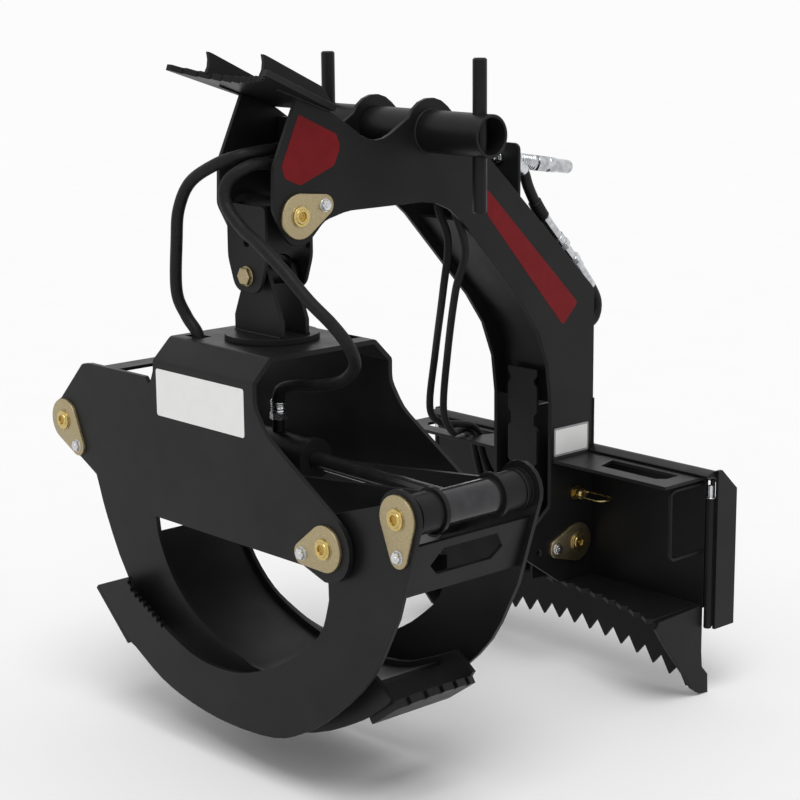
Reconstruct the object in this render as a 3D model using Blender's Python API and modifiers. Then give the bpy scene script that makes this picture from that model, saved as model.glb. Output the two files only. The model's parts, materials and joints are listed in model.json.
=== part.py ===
"""Log grapple: a goose-neck mast on a loader mounting frame, with a hanging, swivelling head and two tongs.

Metres, +Z up. The origin is on the rear face of the mounting plate, +Y points to the loader, X runs across.
Run with blender --background --python part.py, or from the text editor.
"""

import math

import bmesh
import bpy
from mathutils import Matrix, Vector

GAP = 0.0003
FIT = 0.0005
OVERRUN = 0.02
SINK = 0.004
WELD_DISTANCE = 0.00001
MERGE_DISTANCE = 0.0001
ROUND_SIDES = 24
SMALL_SIDES = 12
HEX_SIDES = 6
ARC_STEP = math.radians(18)
TONG_STEPS = 3
HOSE_STEPS = 2
WIRE_ROUNDNESS = 2
SMOOTH_LIMIT = math.radians(30)

# Plate stock
SHEET = 0.0095
PLATE = 0.0127

# Pins and their keeper plates
PIN_R = 0.0254
PIN_PROUD = 0.006
KEEPER_T = 0.008
KEEPER_R = 0.058
KEEPER_TIP_R = 0.028
KEEPER_BOLT_R = 0.014
KEEPER_BOLT_H = 0.010
NOSE_BOLT = (0.082, 0.022)
FOOT_BOLT = (-0.087, -0.005)
P1_BOLT = (0.062, -0.064)
P2_BOLT = (-0.083, -0.028)
P3_BOLT = (0.004, -0.091)

# Mounting frame for the loader
MOUNT_HALF_WIDTH = 0.5715
SHELF_TOP = 0.220
SHELF_DEPTH = 0.188
WINDOW_INNER_EDGE = 0.1225
WINDOW_OUTER_EDGE = 0.0815
WINDOW_FRONT_Y = -0.136
WINDOW_REAR_Y = -0.062
WINDOW_CHAMFER = 0.022
LIP_REACH = 0.038
LIP_RISE = 0.016
LIP_SHARES = ((-0.95, 0.0), (-0.95, 0.40), (-0.20, 1.0), (0.16, 1.0), (1.05, -1.06), (0.82, -1.60),
              (0.05, 0.0))
SIDE_FRONT_Y = 0.003
SIDE_REAR_Y = 0.088
SIDE_TOP = 0.238
SIDE_CREST = 0.017
SIDE_SLOPE_Z = 0.174
SIDE_BOTTOM = -0.230
POST_R = 0.0114
POST_Y = 0.005
POST_TOP = 0.157
POST_PIN_R = 0.007
HANDLE_R = 0.006
HANDLE_REACH = 0.137
HANDLE_TOP = 0.197
HANDLE_BOTTOM = -0.003
HANDLE_BEND_R = 0.018
LOWER_SHELF_TOP = -0.161
LOWER_SHELF_HORN_Y = -0.216
LOWER_SHELF_HOLLOW = 0.096
SHELF_TOOTH_PITCH = 0.062
SHELF_TOOTH = 0.017
SHELF_TOOTH_TIP_SHARE = 0.25
TOOTH_PLATE_Y = -0.018
TOOTH_PLATE_ROOT_Z = -0.286
TOOTH_PLATE_END_Z = -0.383
TOOTH_PITCH = 0.063
TOOTH_DEPTH = 0.043
TOOTH_TIP_SHARE = 0.5
MOUNT_PLATE_BOTTOM = -0.170
FOOT_Z = -0.433
GUSSET_NOSE_Y = -0.216
GUSSET_FOOT_Y = 0.022
GUSSET_SHARES = ((0.0, 0.0), (0.0, 0.51), (-0.023, 0.69), (-0.148, 0.79), (-0.162, 1.0), (0.037, 0.978),
                 (0.19, 0.90), (0.33, 0.75), (0.52, 0.577), (0.78, 0.33), (1.0, 0.10), (0.92, 0.03))

# Mast: two side plates that carry the cross tube and the nose pin
MAST_HALF_WIDTH = 0.1175
NOSE_PIN_Y = -1.1275
NOSE_PIN_Z = 1.021
NOSE_R = 0.074
NOSE_SHARES = ((1.182, -0.257, 0.8), (0.399, -1.0, 0.54), (-0.412, -1.0, 0.60), (-1.088, 0.257, 0.54),
               (-1.034, 1.743, 0.40))
ARCH_Z = 1.020
ARCH_START_Y = -0.962
ARCH_CORNER_Y = -0.612
MAST_FRONT_Y = -0.193
KNEE_Z = 0.569
ARCH_START_R = 0.120
ARCH_CORNER_R = 0.200
KNEE_R = 0.450
MAST_CALF_Z = 0.080
TOE_Y = -0.304
TOE_TOP_Z = -0.005
TOE_BOTTOM_Z = -0.055
HEEL_Y = -0.150
TOE_R = 0.018
SHOULDER_Z = 0.709
SHOULDER_R = 0.040
TUBE_Y = -0.666
TUBE_Z = 1.206
TUBE_R = 0.0571
TUBE_WALL = 0.0086
TUBE_HALF_LENGTH = 0.348
EAR_R = 0.089
EAR_START = math.radians(46)
EAR_END = math.radians(153)
DIP_Y = -0.863
DIP_Z = 1.1785
DIP_R = 0.099
BROW_R = 0.030
SEAT_FRONT_Y = -1.125
STAKE_INSET = 0.046
STAKE_R = 0.019
STAKE_TOP = 1.405
STAKE_BOTTOM = 1.003
FOOT_PIN_Y = -0.083
FOOT_PIN_Z = -0.047
LOCK_PIN_Y = -0.088
LOCK_PIN_Z = 0.105
LOCK_PIN_R = 0.0127
LOCK_HEAD_R = 0.018
LOCK_HEAD_LENGTH = 0.036
LOCK_HEAD_SHARES = ((0.7, 1.0), (1.0, 0.83), (1.0, 0.5), (0.7, 0.167), (1.2, 0.167), (1.2, 0.0))
SPARE_HOLE_Y = -0.238
SPARE_HOLE_Z = -0.053
SPARE_HOLE_R = 0.011
RING_WIRE_R = 0.0025
RING_HOLE_PLAY = 0.0005
RING_LENGTH = 0.112
RING_HALF_WIDTH = 0.030
RING_STAND_OFF = 0.022
RING_NEAR_R = 0.010
RING_FAR_R = 0.027
WEB_INSET = 0.025
ARCH_WEB_START_SHARE = 0.20
ARCH_WEB_END_Z = 0.385
REAR_WEB_INSET = 0.020
REAR_WEB_BOTTOM = 0.640
REAR_WEB_TOP_SHARE = 0.45
BULKHEAD_Y = -1.000
BULKHEAD_BOTTOM = 1.045
BULKHEAD_TOP = 1.255
INNER_POST_HALF_WIDTH = 0.059
INNER_POST_BOTTOM = 0.100
INNER_POST_TOP = 0.480
INNER_POST_WALL_TOP = 0.370
INNER_POST_STEP = 0.012
POST_SHOULDER_Z = 0.180
POST_SHOULDER_Y = -0.045
INNER_POST_NOTCH_SHARES = ((0.10, 0.26), (0.52, 0.66), (0.86, 0.95))
FOOT_BUSH_R = 0.038
LOCK_BUSH_R = 0.024

# Pusher on top of the nose
PUSHER_SLOPE = math.radians(20.5)
PUSHER_REAR_Y = -1.014
PUSHER_REAR_Z = 1.279
PUSHER_LENGTH = 0.297
PUSHER_T = 0.016
PUSHER_HALF_WIDTH = 0.205
PUSHER_REAR_HALF_WIDTH = 0.134
PUSHER_HOLLOW = 0.085
PUSHER_TOOTH = 0.012
PUSHER_PITCH = 0.034
RIB_H = 0.0505
RIB_SHARES = ((0.005, 0.0), (0.005, 0.11), (0.115, 0.55), (0.172, 0.70), (0.81, 1.0), (0.855, 1.0),
              (0.822, 0.68), (0.808, 0.35), (0.818, 0.0))

# Couplers behind the cross tube
COUPLER_X = 0.026
COUPLER_Y = -0.320
COUPLER_Z = 1.105
COUPLER_LENGTH = 0.300
COUPLER_R = 0.019
COUPLER_DROP = math.radians(9)
COUPLER_SHARES = ((0.55, 1.0), (0.55, 0.80), (0.9, 0.78), (0.9, 0.66), (0.6, 0.64), (0.6, 0.55), (1.0, 0.53),
                  (1.0, 0.22), (0.75, 0.20), (0.75, 0.0))
BRACKET_DEPTH = 0.055
BRACKET_TOP = 1.150
BRACKET_CORNER_R = 0.020

# Knuckle: hanging link with a cross axis, and the yoke of the swivel
LINK_LENGTH = 0.157
LINK_HALF_DEPTH = 0.078
LINK_HALF_WIDTH = 0.079
LINK_CROWN = 0.027
LINK_CHIN = 0.042
LINK_SHOULDER_SHARE = 0.62
LINK_CHIN_SHARE = 0.62
LINK_CORNER_SHARE = 0.2
LINK_CHIN_ROUND_SHARE = 0.5
LINK_HOLE_DROP = 0.070
LINK_HOLE_R = 0.012
CHEEK_X = 0.064
CHEEK_SKIRT = 0.092
CROSS_PIN_R = 0.019
CROSS_HEAD_R = 0.031
CROSS_HEAD_T = 0.016
KNUCKLE_BARREL_R = 0.043
YOKE_HEIGHT = 0.154
YOKE_HALF_DEPTH = 0.047
YOKE_HALF_WIDTH = 0.096
YOKE_TOP_R = 0.046
YOKE_SHOULDER = 0.040
YOKE_LEAN = math.radians(12)
YOKE_BOSS_R = 0.030
DISC_R = 0.125
DISC_T = 0.0157
SPINDLE_R = 0.045
RETAINER_R = 0.095
RETAINER_T = 0.020

# Head shell, and the tong and cylinder pins below its top
HEAD_HALF_DEPTH = 0.2326
HEAD_BEVEL = 0.0576
HEAD_BEND_R = 0.016
HEAD_HALF_WIDTH = 0.208
HEAD_DEPTH = 0.483
P1_X = -0.635
P1_DROP = 0.285
P2_X = 0.480
P2_DROP = 0.422
P3_X = 0.712
P3_DROP = 0.306
P4_X = -0.404
P4_DROP = 0.422
HEAD_EYE_R = 0.086
WING_EYE_R = 0.062
HEAD_EYE_ARC = (math.radians(62), math.radians(-95))
WING_EYE_ARC = (math.radians(-120), math.radians(-250))
WING_WEB_X = -0.512
WING_WEB_HALF_LENGTH = 0.034
WING_WEB_DROP = 0.130
SLOT_A_X = -0.153
SLOT_A_Y = -0.1255
SLOT_B_X = 0.128
SLOT_B_Y = 0.150
SLOT_LENGTH = 0.066
SLOT_WIDTH = 0.040
SLEEVE_R = 0.042
ARM_SHARES = ((0.0, 0.275, 0.25), (0.17, 0.43, 0.60))
BELLY_SHARES = ((0.45, 1.0, 0.2), (0.672, 0.867, 0.1), (0.824, 0.80, 0.3))
WING_SHARES = ((0.787, 0.40, 0.12), (0.707, 0.382, 0.2), (0.100, 0.375, 0.03), (0.052, 0.45, 0.03),
               (0.01, 0.30, 0.1))
SLEEVE_INNER_Y = 0.115

# Tongs: outlines as offsets from their hinge pins, in shares of the reach
TONG_REACH = 1.0
TONG_EYE_R = 0.078
LEVER_EYE_R = 0.070
LEVER_EYE_ARC = (math.radians(165), math.radians(-12))
RIGHT_HINGE_ARC = (math.radians(250), math.radians(113))
LEFT_HINGE_ARC = (math.radians(60), math.radians(205))
LINK_EYE_ARC = (math.radians(-45), math.radians(75))
TONG_SIDE_PLAY = 0.0139
RIGHT_OUTER_SHARES = ((0.226, -0.132), (0.132, -0.301), (-0.010, -0.437), (-0.130, -0.517),
                      (-0.251, -0.565), (-0.436, -0.580), (-0.600, -0.567), (-0.736, -0.534),
                      (-0.8595, -0.473))
RIGHT_TIP_SHARES = ((-0.888, -0.4635), (-1.0335, -0.3340))
RIGHT_INNER_SHARES = ((-0.881, -0.276), (-0.869, -0.310), (-0.795, -0.345), (-0.692, -0.394),
                      (-0.550, -0.434), (-0.374, -0.423), (-0.204, -0.349), (-0.095, -0.270),
                      (-0.048, -0.217), (-0.014, -0.100))
RIGHT_TOOTH = 0.008
RIGHT_TOOTH_PITCH = 0.022
RIGHT_TEETH = 9
TOOTH_SHARES = ((0.0, 0), (0.5, 0), (0.55, 1), (0.95, 1))
LEVER_COLLAR_R = 0.050
BOX_TOP_SHARE = (0.268, 0.050)
BOX_BOTTOM_SHARE = (0.222, -0.086)
BOX_WINDOW_HALF_WIDTH = 0.120
BOX_WINDOW_CHAMFER = 0.030
BOX_WINDOW_SHARES = (0.33, 0.84)
LEFT_TONG_HALF_DEPTH = 0.145
LEFT_OUTER_SHARES = ((-0.040, -0.090), (0.006, -0.175), (0.050, -0.285), (0.143, -0.444),
                     (0.305, -0.594), (0.500, -0.684), (0.735, -0.719), (0.954, -0.678),
                     (1.129, -0.598), (1.234, -0.524))
LEFT_TIP_SHARES = ((1.245, -0.508), (1.184, -0.466))
LEFT_INNER_SHARES = ((1.184, -0.466), (1.080, -0.512), (0.965, -0.550), (0.742, -0.567),
                     (0.660, -0.552), (0.550, -0.521), (0.442, -0.472), (0.357, -0.397),
                     (0.303, -0.305), (0.289, -0.242))
LEFT_WEB_INSET = 0.016
LEFT_WEB_TRIM_SHARE = 0.07
LEFT_TIP_T = 0.020
LEFT_TIP_LENGTH = 0.118
LEFT_TIP_BOW = 0.024
LEFT_NOTCH_PITCH = 0.050
LEFT_NOTCH = 0.014
NOTCH_SHARES = ((-0.5, 0), (-0.4, 1), (0.4, 1), (0.5, 0))
LEFT_COLLAR_R = 0.056

# Tie link and cylinder
TIE_HALF_DEPTH = 0.1047
TIE_EYE_R = 0.058
TIE_WAIST = 0.045
TIE_TUBE_R = 0.045
P4_COLLAR_R = 0.040
ROD_BOSS_R = 0.046
BASE_TUBE_R = 0.050
CYLINDER_R = 0.050
CYLINDER_BORE_R = 0.0415
CYLINDER_LENGTH = 0.805
CYLINDER_START = 0.034
CYLINDER_FLOOR = 0.105
GLAND_R = 0.055
GLAND_LENGTH = 0.030
ROD_R = 0.0225
PISTON_LENGTH = 0.050
PISTON_START = 0.440
PORT_R = 0.016
PORT_HEIGHT = 0.030
BASE_PORT_X = -0.420
GLAND_PORT_X = 0.018

# Hose routes, points chosen along the real ones
HOSE_R = 0.016
SLIM_HOSE_R = 0.011
HOSE_A = ((0.045, -1.0102, 1.190), (0.045, -1.028, 1.190), (0.045, -1.060, 1.190),
          (0.041, -1.180, 1.184), (0.027, -1.240, 1.176), (-0.036, -1.270, 1.152),
          (-0.124, -1.285, 1.102), (-0.170, -1.290, 1.030), (-0.184, -1.290, 0.948),
          (-0.205, -1.280, 0.812), (-0.190, -1.262, 0.745), (-0.155, -1.2530, 0.700),
          (-0.158, -1.245, 0.650), (-0.220, -1.205, 0.588), (-0.320, -1.155, 0.568),
          (-0.398, -1.130, 0.572), (-0.420, -1.1275, 0.538), (-0.420, -1.1275, 0.510),
          (-0.420, -1.1275, 0.4862))
HOSE_B = ((0.062, -1.0102, 1.130), (0.062, -1.028, 1.130), (0.062, -1.060, 1.130),
          (0.067, -1.190, 1.156), (0.058, -1.252, 1.147), (0.027, -1.284, 1.110),
          (0.033, -1.290, 1.056), (0.092, -1.288, 1.003), (0.158, -1.285, 0.967),
          (0.234, -1.275, 0.912), (0.304, -1.255, 0.843), (0.358, -1.225, 0.785),
          (0.384, -1.195, 0.730), (0.364, -1.160, 0.674), (0.290, -1.135, 0.624),
          (0.187, -1.1275, 0.594), (0.100, -1.1275, 0.580), (0.036, -1.1275, 0.562),
          (0.018, -1.1275, 0.530), (0.018, -1.1275, 0.502), (0.018, -1.1275, 0.4794))
HOSE_C = ((-0.026, -0.3300, 1.1051), (-0.026, -0.3400, 1.1067), (-0.026, -0.3595, 1.1098),
          (-0.015, -0.450, 1.092), (0.005, -0.520, 1.045), (0.015, -0.545, 0.985),
          (0.023, -0.515, 0.889), (-0.048, -0.467, 0.734), (-0.218, -0.338, 0.517),
          (-0.288, -0.296, 0.332), (-0.276, -0.262, 0.280), (-0.270, -0.200, 0.266),
          (-0.272, -0.140, 0.252), (-0.275, -0.104, 0.222), (-0.276, -0.094, 0.185),
          (-0.274, -0.078, 0.135), (-0.271, -0.056, 0.092), (-0.270, -0.038, 0.086),
          (-0.270, -0.024, 0.086), (-0.270, -0.0131, 0.086))
HOSE_D = ((0.026, -0.3300, 1.1051), (0.026, -0.3400, 1.1067), (0.026, -0.3595, 1.1098),
          (0.045, -0.450, 1.092), (0.070, -0.520, 1.045), (0.085, -0.548, 0.985),
          (0.092, -0.515, 0.868), (0.004, -0.468, 0.740), (-0.160, -0.343, 0.525),
          (-0.224, -0.300, 0.336), (-0.236, -0.255, 0.258), (-0.285, -0.185, 0.2375),
          (-0.303, -0.130, 0.2365), (-0.305, -0.102, 0.216), (-0.305, -0.092, 0.180),
          (-0.305, -0.078, 0.120), (-0.305, -0.056, 0.062), (-0.305, -0.038, 0.056),
          (-0.305, -0.024, 0.056), (-0.305, -0.0131, 0.056))
HOSE_E = ((0.070, -0.3101, 1.080), (0.070, -0.302, 1.080), (0.070, -0.288, 1.080),
          (0.069, -0.262, 1.062), (0.068, -0.240, 1.015), (0.064, -0.190, 0.945),
          (0.060, -0.100, 0.850), (0.060, 0.000, 0.742), (0.060, 0.056, 0.665),
          (0.060, 0.052, 0.610), (0.060, 0.010, 0.588), (0.060, -0.050, 0.585),
          (0.060, -0.1021, 0.5708), (0.060, -0.1346, 0.5580), (0.060, -0.1668, 0.5453))

MOUNT_PLATE_FRONT = -PLATE
MAST_REAR_Y = MOUNT_PLATE_FRONT - GAP
MAST_INNER = MAST_HALF_WIDTH - PLATE
MAST_FILL = MAST_INNER - GAP
MAST_BOTTOM = LOWER_SHELF_TOP + GAP
PLATE_END = MOUNT_HALF_WIDTH - 2 * POST_R - GAP
GUSSET_INNER = PLATE_END - PLATE
HEAD_Y = NOSE_PIN_Y
CROSS_PIN_Z = NOSE_PIN_Z - LINK_LENGTH
DISC_TOP = CROSS_PIN_Z - YOKE_HEIGHT
HEAD_TOP = DISC_TOP - DISC_T - GAP
P1 = Vector((P1_X, HEAD_TOP - P1_DROP))
P2 = Vector((P2_X, HEAD_TOP - P2_DROP))
P3 = Vector((P3_X, HEAD_TOP - P3_DROP))
P4 = Vector((P4_X, HEAD_TOP - P4_DROP))
HEAD_INNER = HEAD_HALF_DEPTH - PLATE
HEAD_CROWN_HALF_DEPTH = HEAD_HALF_DEPTH - HEAD_BEVEL
RIGHT_TONG_HALF_DEPTH = HEAD_INNER - TONG_SIDE_PLAY
STAKE_X = TUBE_HALF_LENGTH - STAKE_INSET
NOSE_PIN = Vector((NOSE_PIN_Y, NOSE_PIN_Z))

AXIS_FRAMES = {
    "X": (Matrix(((0, 0, 1), (1, 0, 0), (0, 1, 0))).to_4x4(), 1),
    "Y": (Matrix(((1, 0, 0), (0, 0, -1), (0, 1, 0))).to_4x4(), -1),
    "Z": (Matrix.Identity(4), 1),
}

for old in list(bpy.data.objects):
    bpy.data.objects.remove(old, do_unlink=True)

parts = bpy.data.collections.new("log_grapple")
cutters = bpy.data.collections.new("cutters")
bpy.context.scene.collection.children.link(parts)
bpy.context.scene.collection.children.link(cutters)


# Materials

def paint(name, colour, roughness, metallic):
    material = bpy.data.materials.new(name)
    material.use_nodes = True
    shader = material.node_tree.nodes["Principled BSDF"]
    shader.inputs["Base Color"].default_value = (*colour, 1.0)
    shader.inputs["Roughness"].default_value = roughness
    shader.inputs["Metallic"].default_value = metallic
    return material


BLACK = paint("satin_black_powder_coat", (0.020, 0.020, 0.021), 0.42, 0.0)
GOLD_ZINC = paint("yellow_zinc", (0.55, 0.46, 0.27), 0.38, 1.0)
BRIGHT_ZINC = paint("bright_zinc", (0.75, 0.76, 0.78), 0.25, 1.0)
CHROME = paint("hard_chrome", (0.10, 0.10, 0.11), 0.22, 1.0)
RUBBER = paint("black_rubber", (0.012, 0.012, 0.012), 0.60, 0.0)
BRAID = paint("braided_hose", (0.045, 0.040, 0.032), 0.75, 0.0)


# Outlines in a plane

def polar(centre, radius, angle):
    return (centre[0] + radius * math.cos(angle), centre[1] + radius * math.sin(angle))


def arc(centre, radius, start, end):
    """Points on a circle from one angle to another, both in radians."""
    count = max(2, math.ceil(abs(end - start) / ARC_STEP))
    return [polar(centre, radius, start + (end - start) * i / count) for i in range(count + 1)]


def circle(centre, radius, sides=ROUND_SIDES):
    return [polar(centre, radius, math.tau * i / sides) for i in range(sides)]


def rounded(corners):
    """A polyline whose corners (u, v, radius) are rounded; the first and last stay sharp."""
    path = [tuple(corners[0][:2])]
    for before, corner, after in zip(corners, corners[1:], corners[2:]):
        path += fillet(before, corner, after)
    path.append(tuple(corners[-1][:2]))
    return path


def rounded_loop(corners):
    """A closed outline whose corners (u, v, radius) are rounded."""
    count = len(corners)
    outline = []
    for i in range(count):
        outline += fillet(corners[i - 1], corners[i], corners[(i + 1) % count])
    return outline


def fillet(before, corner, after):
    here = Vector(corner[:2])
    back = Vector(before[:2]) - here
    ahead = Vector(after[:2]) - here
    radius = corner[2] if len(corner) > 2 else 0
    half = back.angle(ahead) / 2
    if radius == 0 or abs(math.pi / 2 - half) < ARC_STEP / 100:
        return [tuple(here)]
    tangent = min(radius / math.tan(half), back.length / 2, ahead.length / 2)
    radius = tangent * math.tan(half)
    bisector = (back.normalized() + ahead.normalized()).normalized()
    centre = here + bisector * (radius / math.sin(half))
    first = here + back.normalized() * tangent - centre
    last = here + ahead.normalized() * tangent - centre
    start = math.atan2(first.y, first.x)
    turn = math.remainder(math.atan2(last.y, last.x) - start, math.tau)
    count = max(1, math.ceil(abs(turn) / ARC_STEP))
    return [polar(centre, radius, start + turn * i / count) for i in range(count + 1)]


def offset_path(path, distance):
    """The polyline moved sideways, to its left for a positive distance."""
    moved = []
    for i, point in enumerate(path):
        here = Vector(point)
        sides = []
        if i > 0:
            sides.append((here - Vector(path[i - 1])).normalized())
        if i < len(path) - 1:
            sides.append((Vector(path[i + 1]) - here).normalized())
        normals = [Vector((-side.y, side.x)) for side in sides]
        normal = sum(normals, Vector((0, 0))).normalized()
        moved.append(tuple(here + normal * (distance / normal.dot(normals[0]))))
    return moved


def band(path, near, far):
    """The closed outline of a strip between two sideways distances from a path."""
    return offset_path(path, near) + offset_path(path, far)[::-1]


def smooth(points, per_span):
    """A Catmull-Rom curve through the points."""
    knots = [Vector(p) for p in points]
    knots = [knots[0] * 2 - knots[1]] + knots + [knots[-1] * 2 - knots[-2]]
    curve = []
    for a, b, c, d in zip(knots, knots[1:], knots[2:], knots[3:]):
        for i in range(per_span):
            t = i / per_span
            curve.append((b * 2 + (c - a) * t + (a * 2 - b * 5 + c * 4 - d) * t ** 2
                          + (b * 3 - a - c * 3 + d) * t ** 3) / 2)
    curve.append(knots[-2])
    return curve


def toothed(start, end, hollow, pitch, depth, tip_share):
    """A bowed edge with teeth; hollow bows it to its left and teeth point to its right."""
    a, b = Vector(start), Vector(end)
    along = b - a
    left = Vector((-along.y, along.x)).normalized()
    count = max(2, round(along.length / pitch))

    def edge(share, lift):
        bow = hollow * (1 - (2 * share - 1) ** 2)
        return tuple(a + along * share + left * (bow - lift))

    points = []
    for i in range(count):
        points.append(edge(i / count, 0))
        points.append(edge((i + tip_share) / count, depth))
    points.append(edge(1, 0))
    return points


def offsets(centre, shares):
    return [(centre[0] + TONG_REACH * u, centre[1] + TONG_REACH * v) for u, v in shares]


# Solids

def place(obj, body):
    if body:
        obj.parent = body
        obj.matrix_parent_inverse = body.matrix_world.inverted()


def to_mesh(source):
    """The curve object as a mesh object of the same name, with its caps welded."""
    bpy.context.view_layer.update()
    evaluated = source.evaluated_get(bpy.context.evaluated_depsgraph_get())
    mesh = bpy.data.meshes.new_from_object(evaluated)
    work = bmesh.new()
    work.from_mesh(mesh)
    bmesh.ops.remove_doubles(work, verts=work.verts, dist=WELD_DISTANCE)
    bmesh.ops.recalc_face_normals(work, faces=work.faces)
    work.to_mesh(mesh)
    work.free()
    name = source.name
    matrix = source.matrix_world.copy()
    data = source.data
    bpy.data.objects.remove(source, do_unlink=True)
    bpy.data.curves.remove(data)
    obj = bpy.data.objects.new(name, mesh)
    parts.objects.link(obj)
    obj.matrix_world = matrix
    return obj


def finish(obj, material, body):
    obj.data.materials.clear()
    obj.data.materials.append(material)
    place(obj, body)
    return obj


def slab(name, loops, frame, low, high, material=BLACK, body=None):
    """A flat plate: closed loops in a frame's plane, filled and given its thickness from low to high."""
    curve = bpy.data.curves.new(name, "CURVE")
    curve.dimensions = "2D"
    curve.fill_mode = "BOTH"
    curve.extrude = abs(high - low) / 2
    for loop in loops:
        spline = curve.splines.new("POLY")
        spline.points.add(len(loop) - 1)
        for point, (u, v) in zip(spline.points, loop):
            point.co = (u, v, 0, 1)
        spline.use_cyclic_u = True
    source = bpy.data.objects.new(name, curve)
    parts.objects.link(source)
    source.matrix_world = frame @ Matrix.Translation((0, 0, (low + high) / 2))
    return finish(to_mesh(source), material, body)


def plate(name, loops, axis, low, high, material=BLACK, body=None):
    """A flat plate across a world axis, between two coordinates on that axis."""
    frame, sign = AXIS_FRAMES[axis]
    return slab(name, loops, frame, sign * low, sign * high, material, body)


def tilted(origin, u_axis, v_axis):
    """A frame whose plane holds two given directions."""
    u, v = Vector(u_axis).normalized(), Vector(v_axis).normalized()
    w = u.cross(v)
    return Matrix.Translation(origin) @ Matrix((u, v, w)).transposed().to_4x4()


def bar(name, start, end, radius, sides=ROUND_SIDES, material=BLACK, body=None):
    """A round bar between two points."""
    a, b = Vector(start), Vector(end)
    mesh = bpy.data.meshes.new(name)
    work = bmesh.new()
    length = (b - a).length
    bmesh.ops.create_cone(work, cap_ends=True, segments=sides, radius1=radius, radius2=radius, depth=length)
    work.to_mesh(mesh)
    work.free()
    mesh.shade_smooth()
    mesh.set_sharp_from_angle(angle=SMOOTH_LIMIT)
    obj = bpy.data.objects.new(name, mesh)
    parts.objects.link(obj)
    turn = (b - a).to_track_quat("Z", "Y").to_matrix().to_4x4()
    obj.matrix_world = Matrix.Translation((a + b) / 2) @ turn
    return finish(obj, material, body)


def turned(name, profile, origin, direction, sides=ROUND_SIDES, material=BLACK, body=None):
    """A turned piece: (radius, height) points, outer side from top to bottom, about a direction."""
    mesh = bpy.data.meshes.new(name)
    work = bmesh.new()
    points = [work.verts.new((radius, 0, height)) for radius, height in profile]
    for a, b in zip(points, points[1:]):
        work.edges.new((a, b))
    work.to_mesh(mesh)
    work.free()
    obj = bpy.data.objects.new(name, mesh)
    parts.objects.link(obj)
    screw = obj.modifiers.new("turn", "SCREW")
    screw.steps = sides
    screw.render_steps = sides
    screw.use_merge_vertices = True
    screw.merge_threshold = MERGE_DISTANCE / 2
    screw.use_smooth_shade = True
    turn = Vector(direction).to_track_quat("Z", "Y").to_matrix().to_4x4()
    obj.matrix_world = Matrix.Translation(origin) @ turn
    return finish(obj, material, body)


def wire(name, points, radius, closed=False, material=RUBBER, body=None):
    """A round wire or hose along the points, with filled ends."""
    curve = bpy.data.curves.new(name, "CURVE")
    curve.dimensions = "3D"
    curve.bevel_depth = radius
    curve.bevel_resolution = WIRE_ROUNDNESS
    curve.use_fill_caps = not closed
    spline = curve.splines.new("POLY")
    spline.points.add(len(points) - 1)
    for point, place_ in zip(spline.points, points):
        point.co = (*place_, 1)
    spline.use_cyclic_u = closed
    obj = bpy.data.objects.new(name, curve)
    parts.objects.link(obj)
    return finish(obj, material, body)


def combine(target, operation, tools):
    """Boolean steps on the target; each tool goes to the cutters' collection."""
    for tool in tools:
        step = target.modifiers.new(operation.lower(), "BOOLEAN")
        step.operation = operation
        step.solver = "EXACT"
        step.object = tool
        tool.hide_render = True
        tool.display_type = "WIRE"
        parts.objects.unlink(tool)
        cutters.objects.link(tool)
    return target


def cut(target, *tools):
    return combine(target, "DIFFERENCE", tools)


def fuse(target, *tools):
    return combine(target, "UNION", tools)


def box_cutter(name, low, high):
    mesh = bpy.data.meshes.new(name)
    work = bmesh.new()
    bmesh.ops.create_cube(work, size=1)
    work.to_mesh(mesh)
    work.free()
    obj = bpy.data.objects.new(name, mesh)
    parts.objects.link(obj)
    size = Vector(high) - Vector(low)
    obj.matrix_world = Matrix.Translation((Vector(low) + Vector(high)) / 2) @ Matrix.Diagonal((*size, 1))
    return obj


def pivot(name, location, parent=None):
    empty = bpy.data.objects.new(name, None)
    parts.objects.link(empty)
    empty.location = location
    bpy.context.view_layer.update()
    if parent:
        empty.parent = parent
        empty.matrix_parent_inverse = parent.matrix_world.inverted()
        bpy.context.view_layer.update()
    return empty


frame_body = pivot("frame_pivot", (0, 0, 0))
link_body = pivot("link_pivot", (0, HEAD_Y, NOSE_PIN_Z), frame_body)
yoke_body = pivot("yoke_pivot", (0, HEAD_Y, CROSS_PIN_Z), link_body)
head_body = pivot("head_pivot", (0, HEAD_Y, HEAD_TOP), yoke_body)
right_body = pivot("right_tong_pivot", (P2.x, HEAD_Y, P2.y), head_body)
left_body = pivot("left_tong_pivot", (P1.x, HEAD_Y, P1.y), head_body)
tie_body = pivot("tie_link_pivot", (P3.x, HEAD_Y, P3.y), right_body)
cylinder_body = pivot("cylinder_pivot", (P1.x, HEAD_Y, P1.y), head_body)
rod_body = pivot("rod_pivot", (P3.x, HEAD_Y, P3.y), cylinder_body)


# Pins with a keeper plate on one side

def keeper_outline(centre, bolt):
    """Teardrop: a large round at the pin, a small one at the bolt, joined by tangents."""
    a, b = Vector(centre), Vector(bolt)
    along = b - a
    heading = math.atan2(along.y, along.x)
    lean = math.acos((KEEPER_R - KEEPER_TIP_R) / along.length)
    tip = arc(b, KEEPER_TIP_R, heading - lean, heading + lean)
    return tip + arc(a, KEEPER_R, heading + lean, heading - lean + math.tau)


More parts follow.
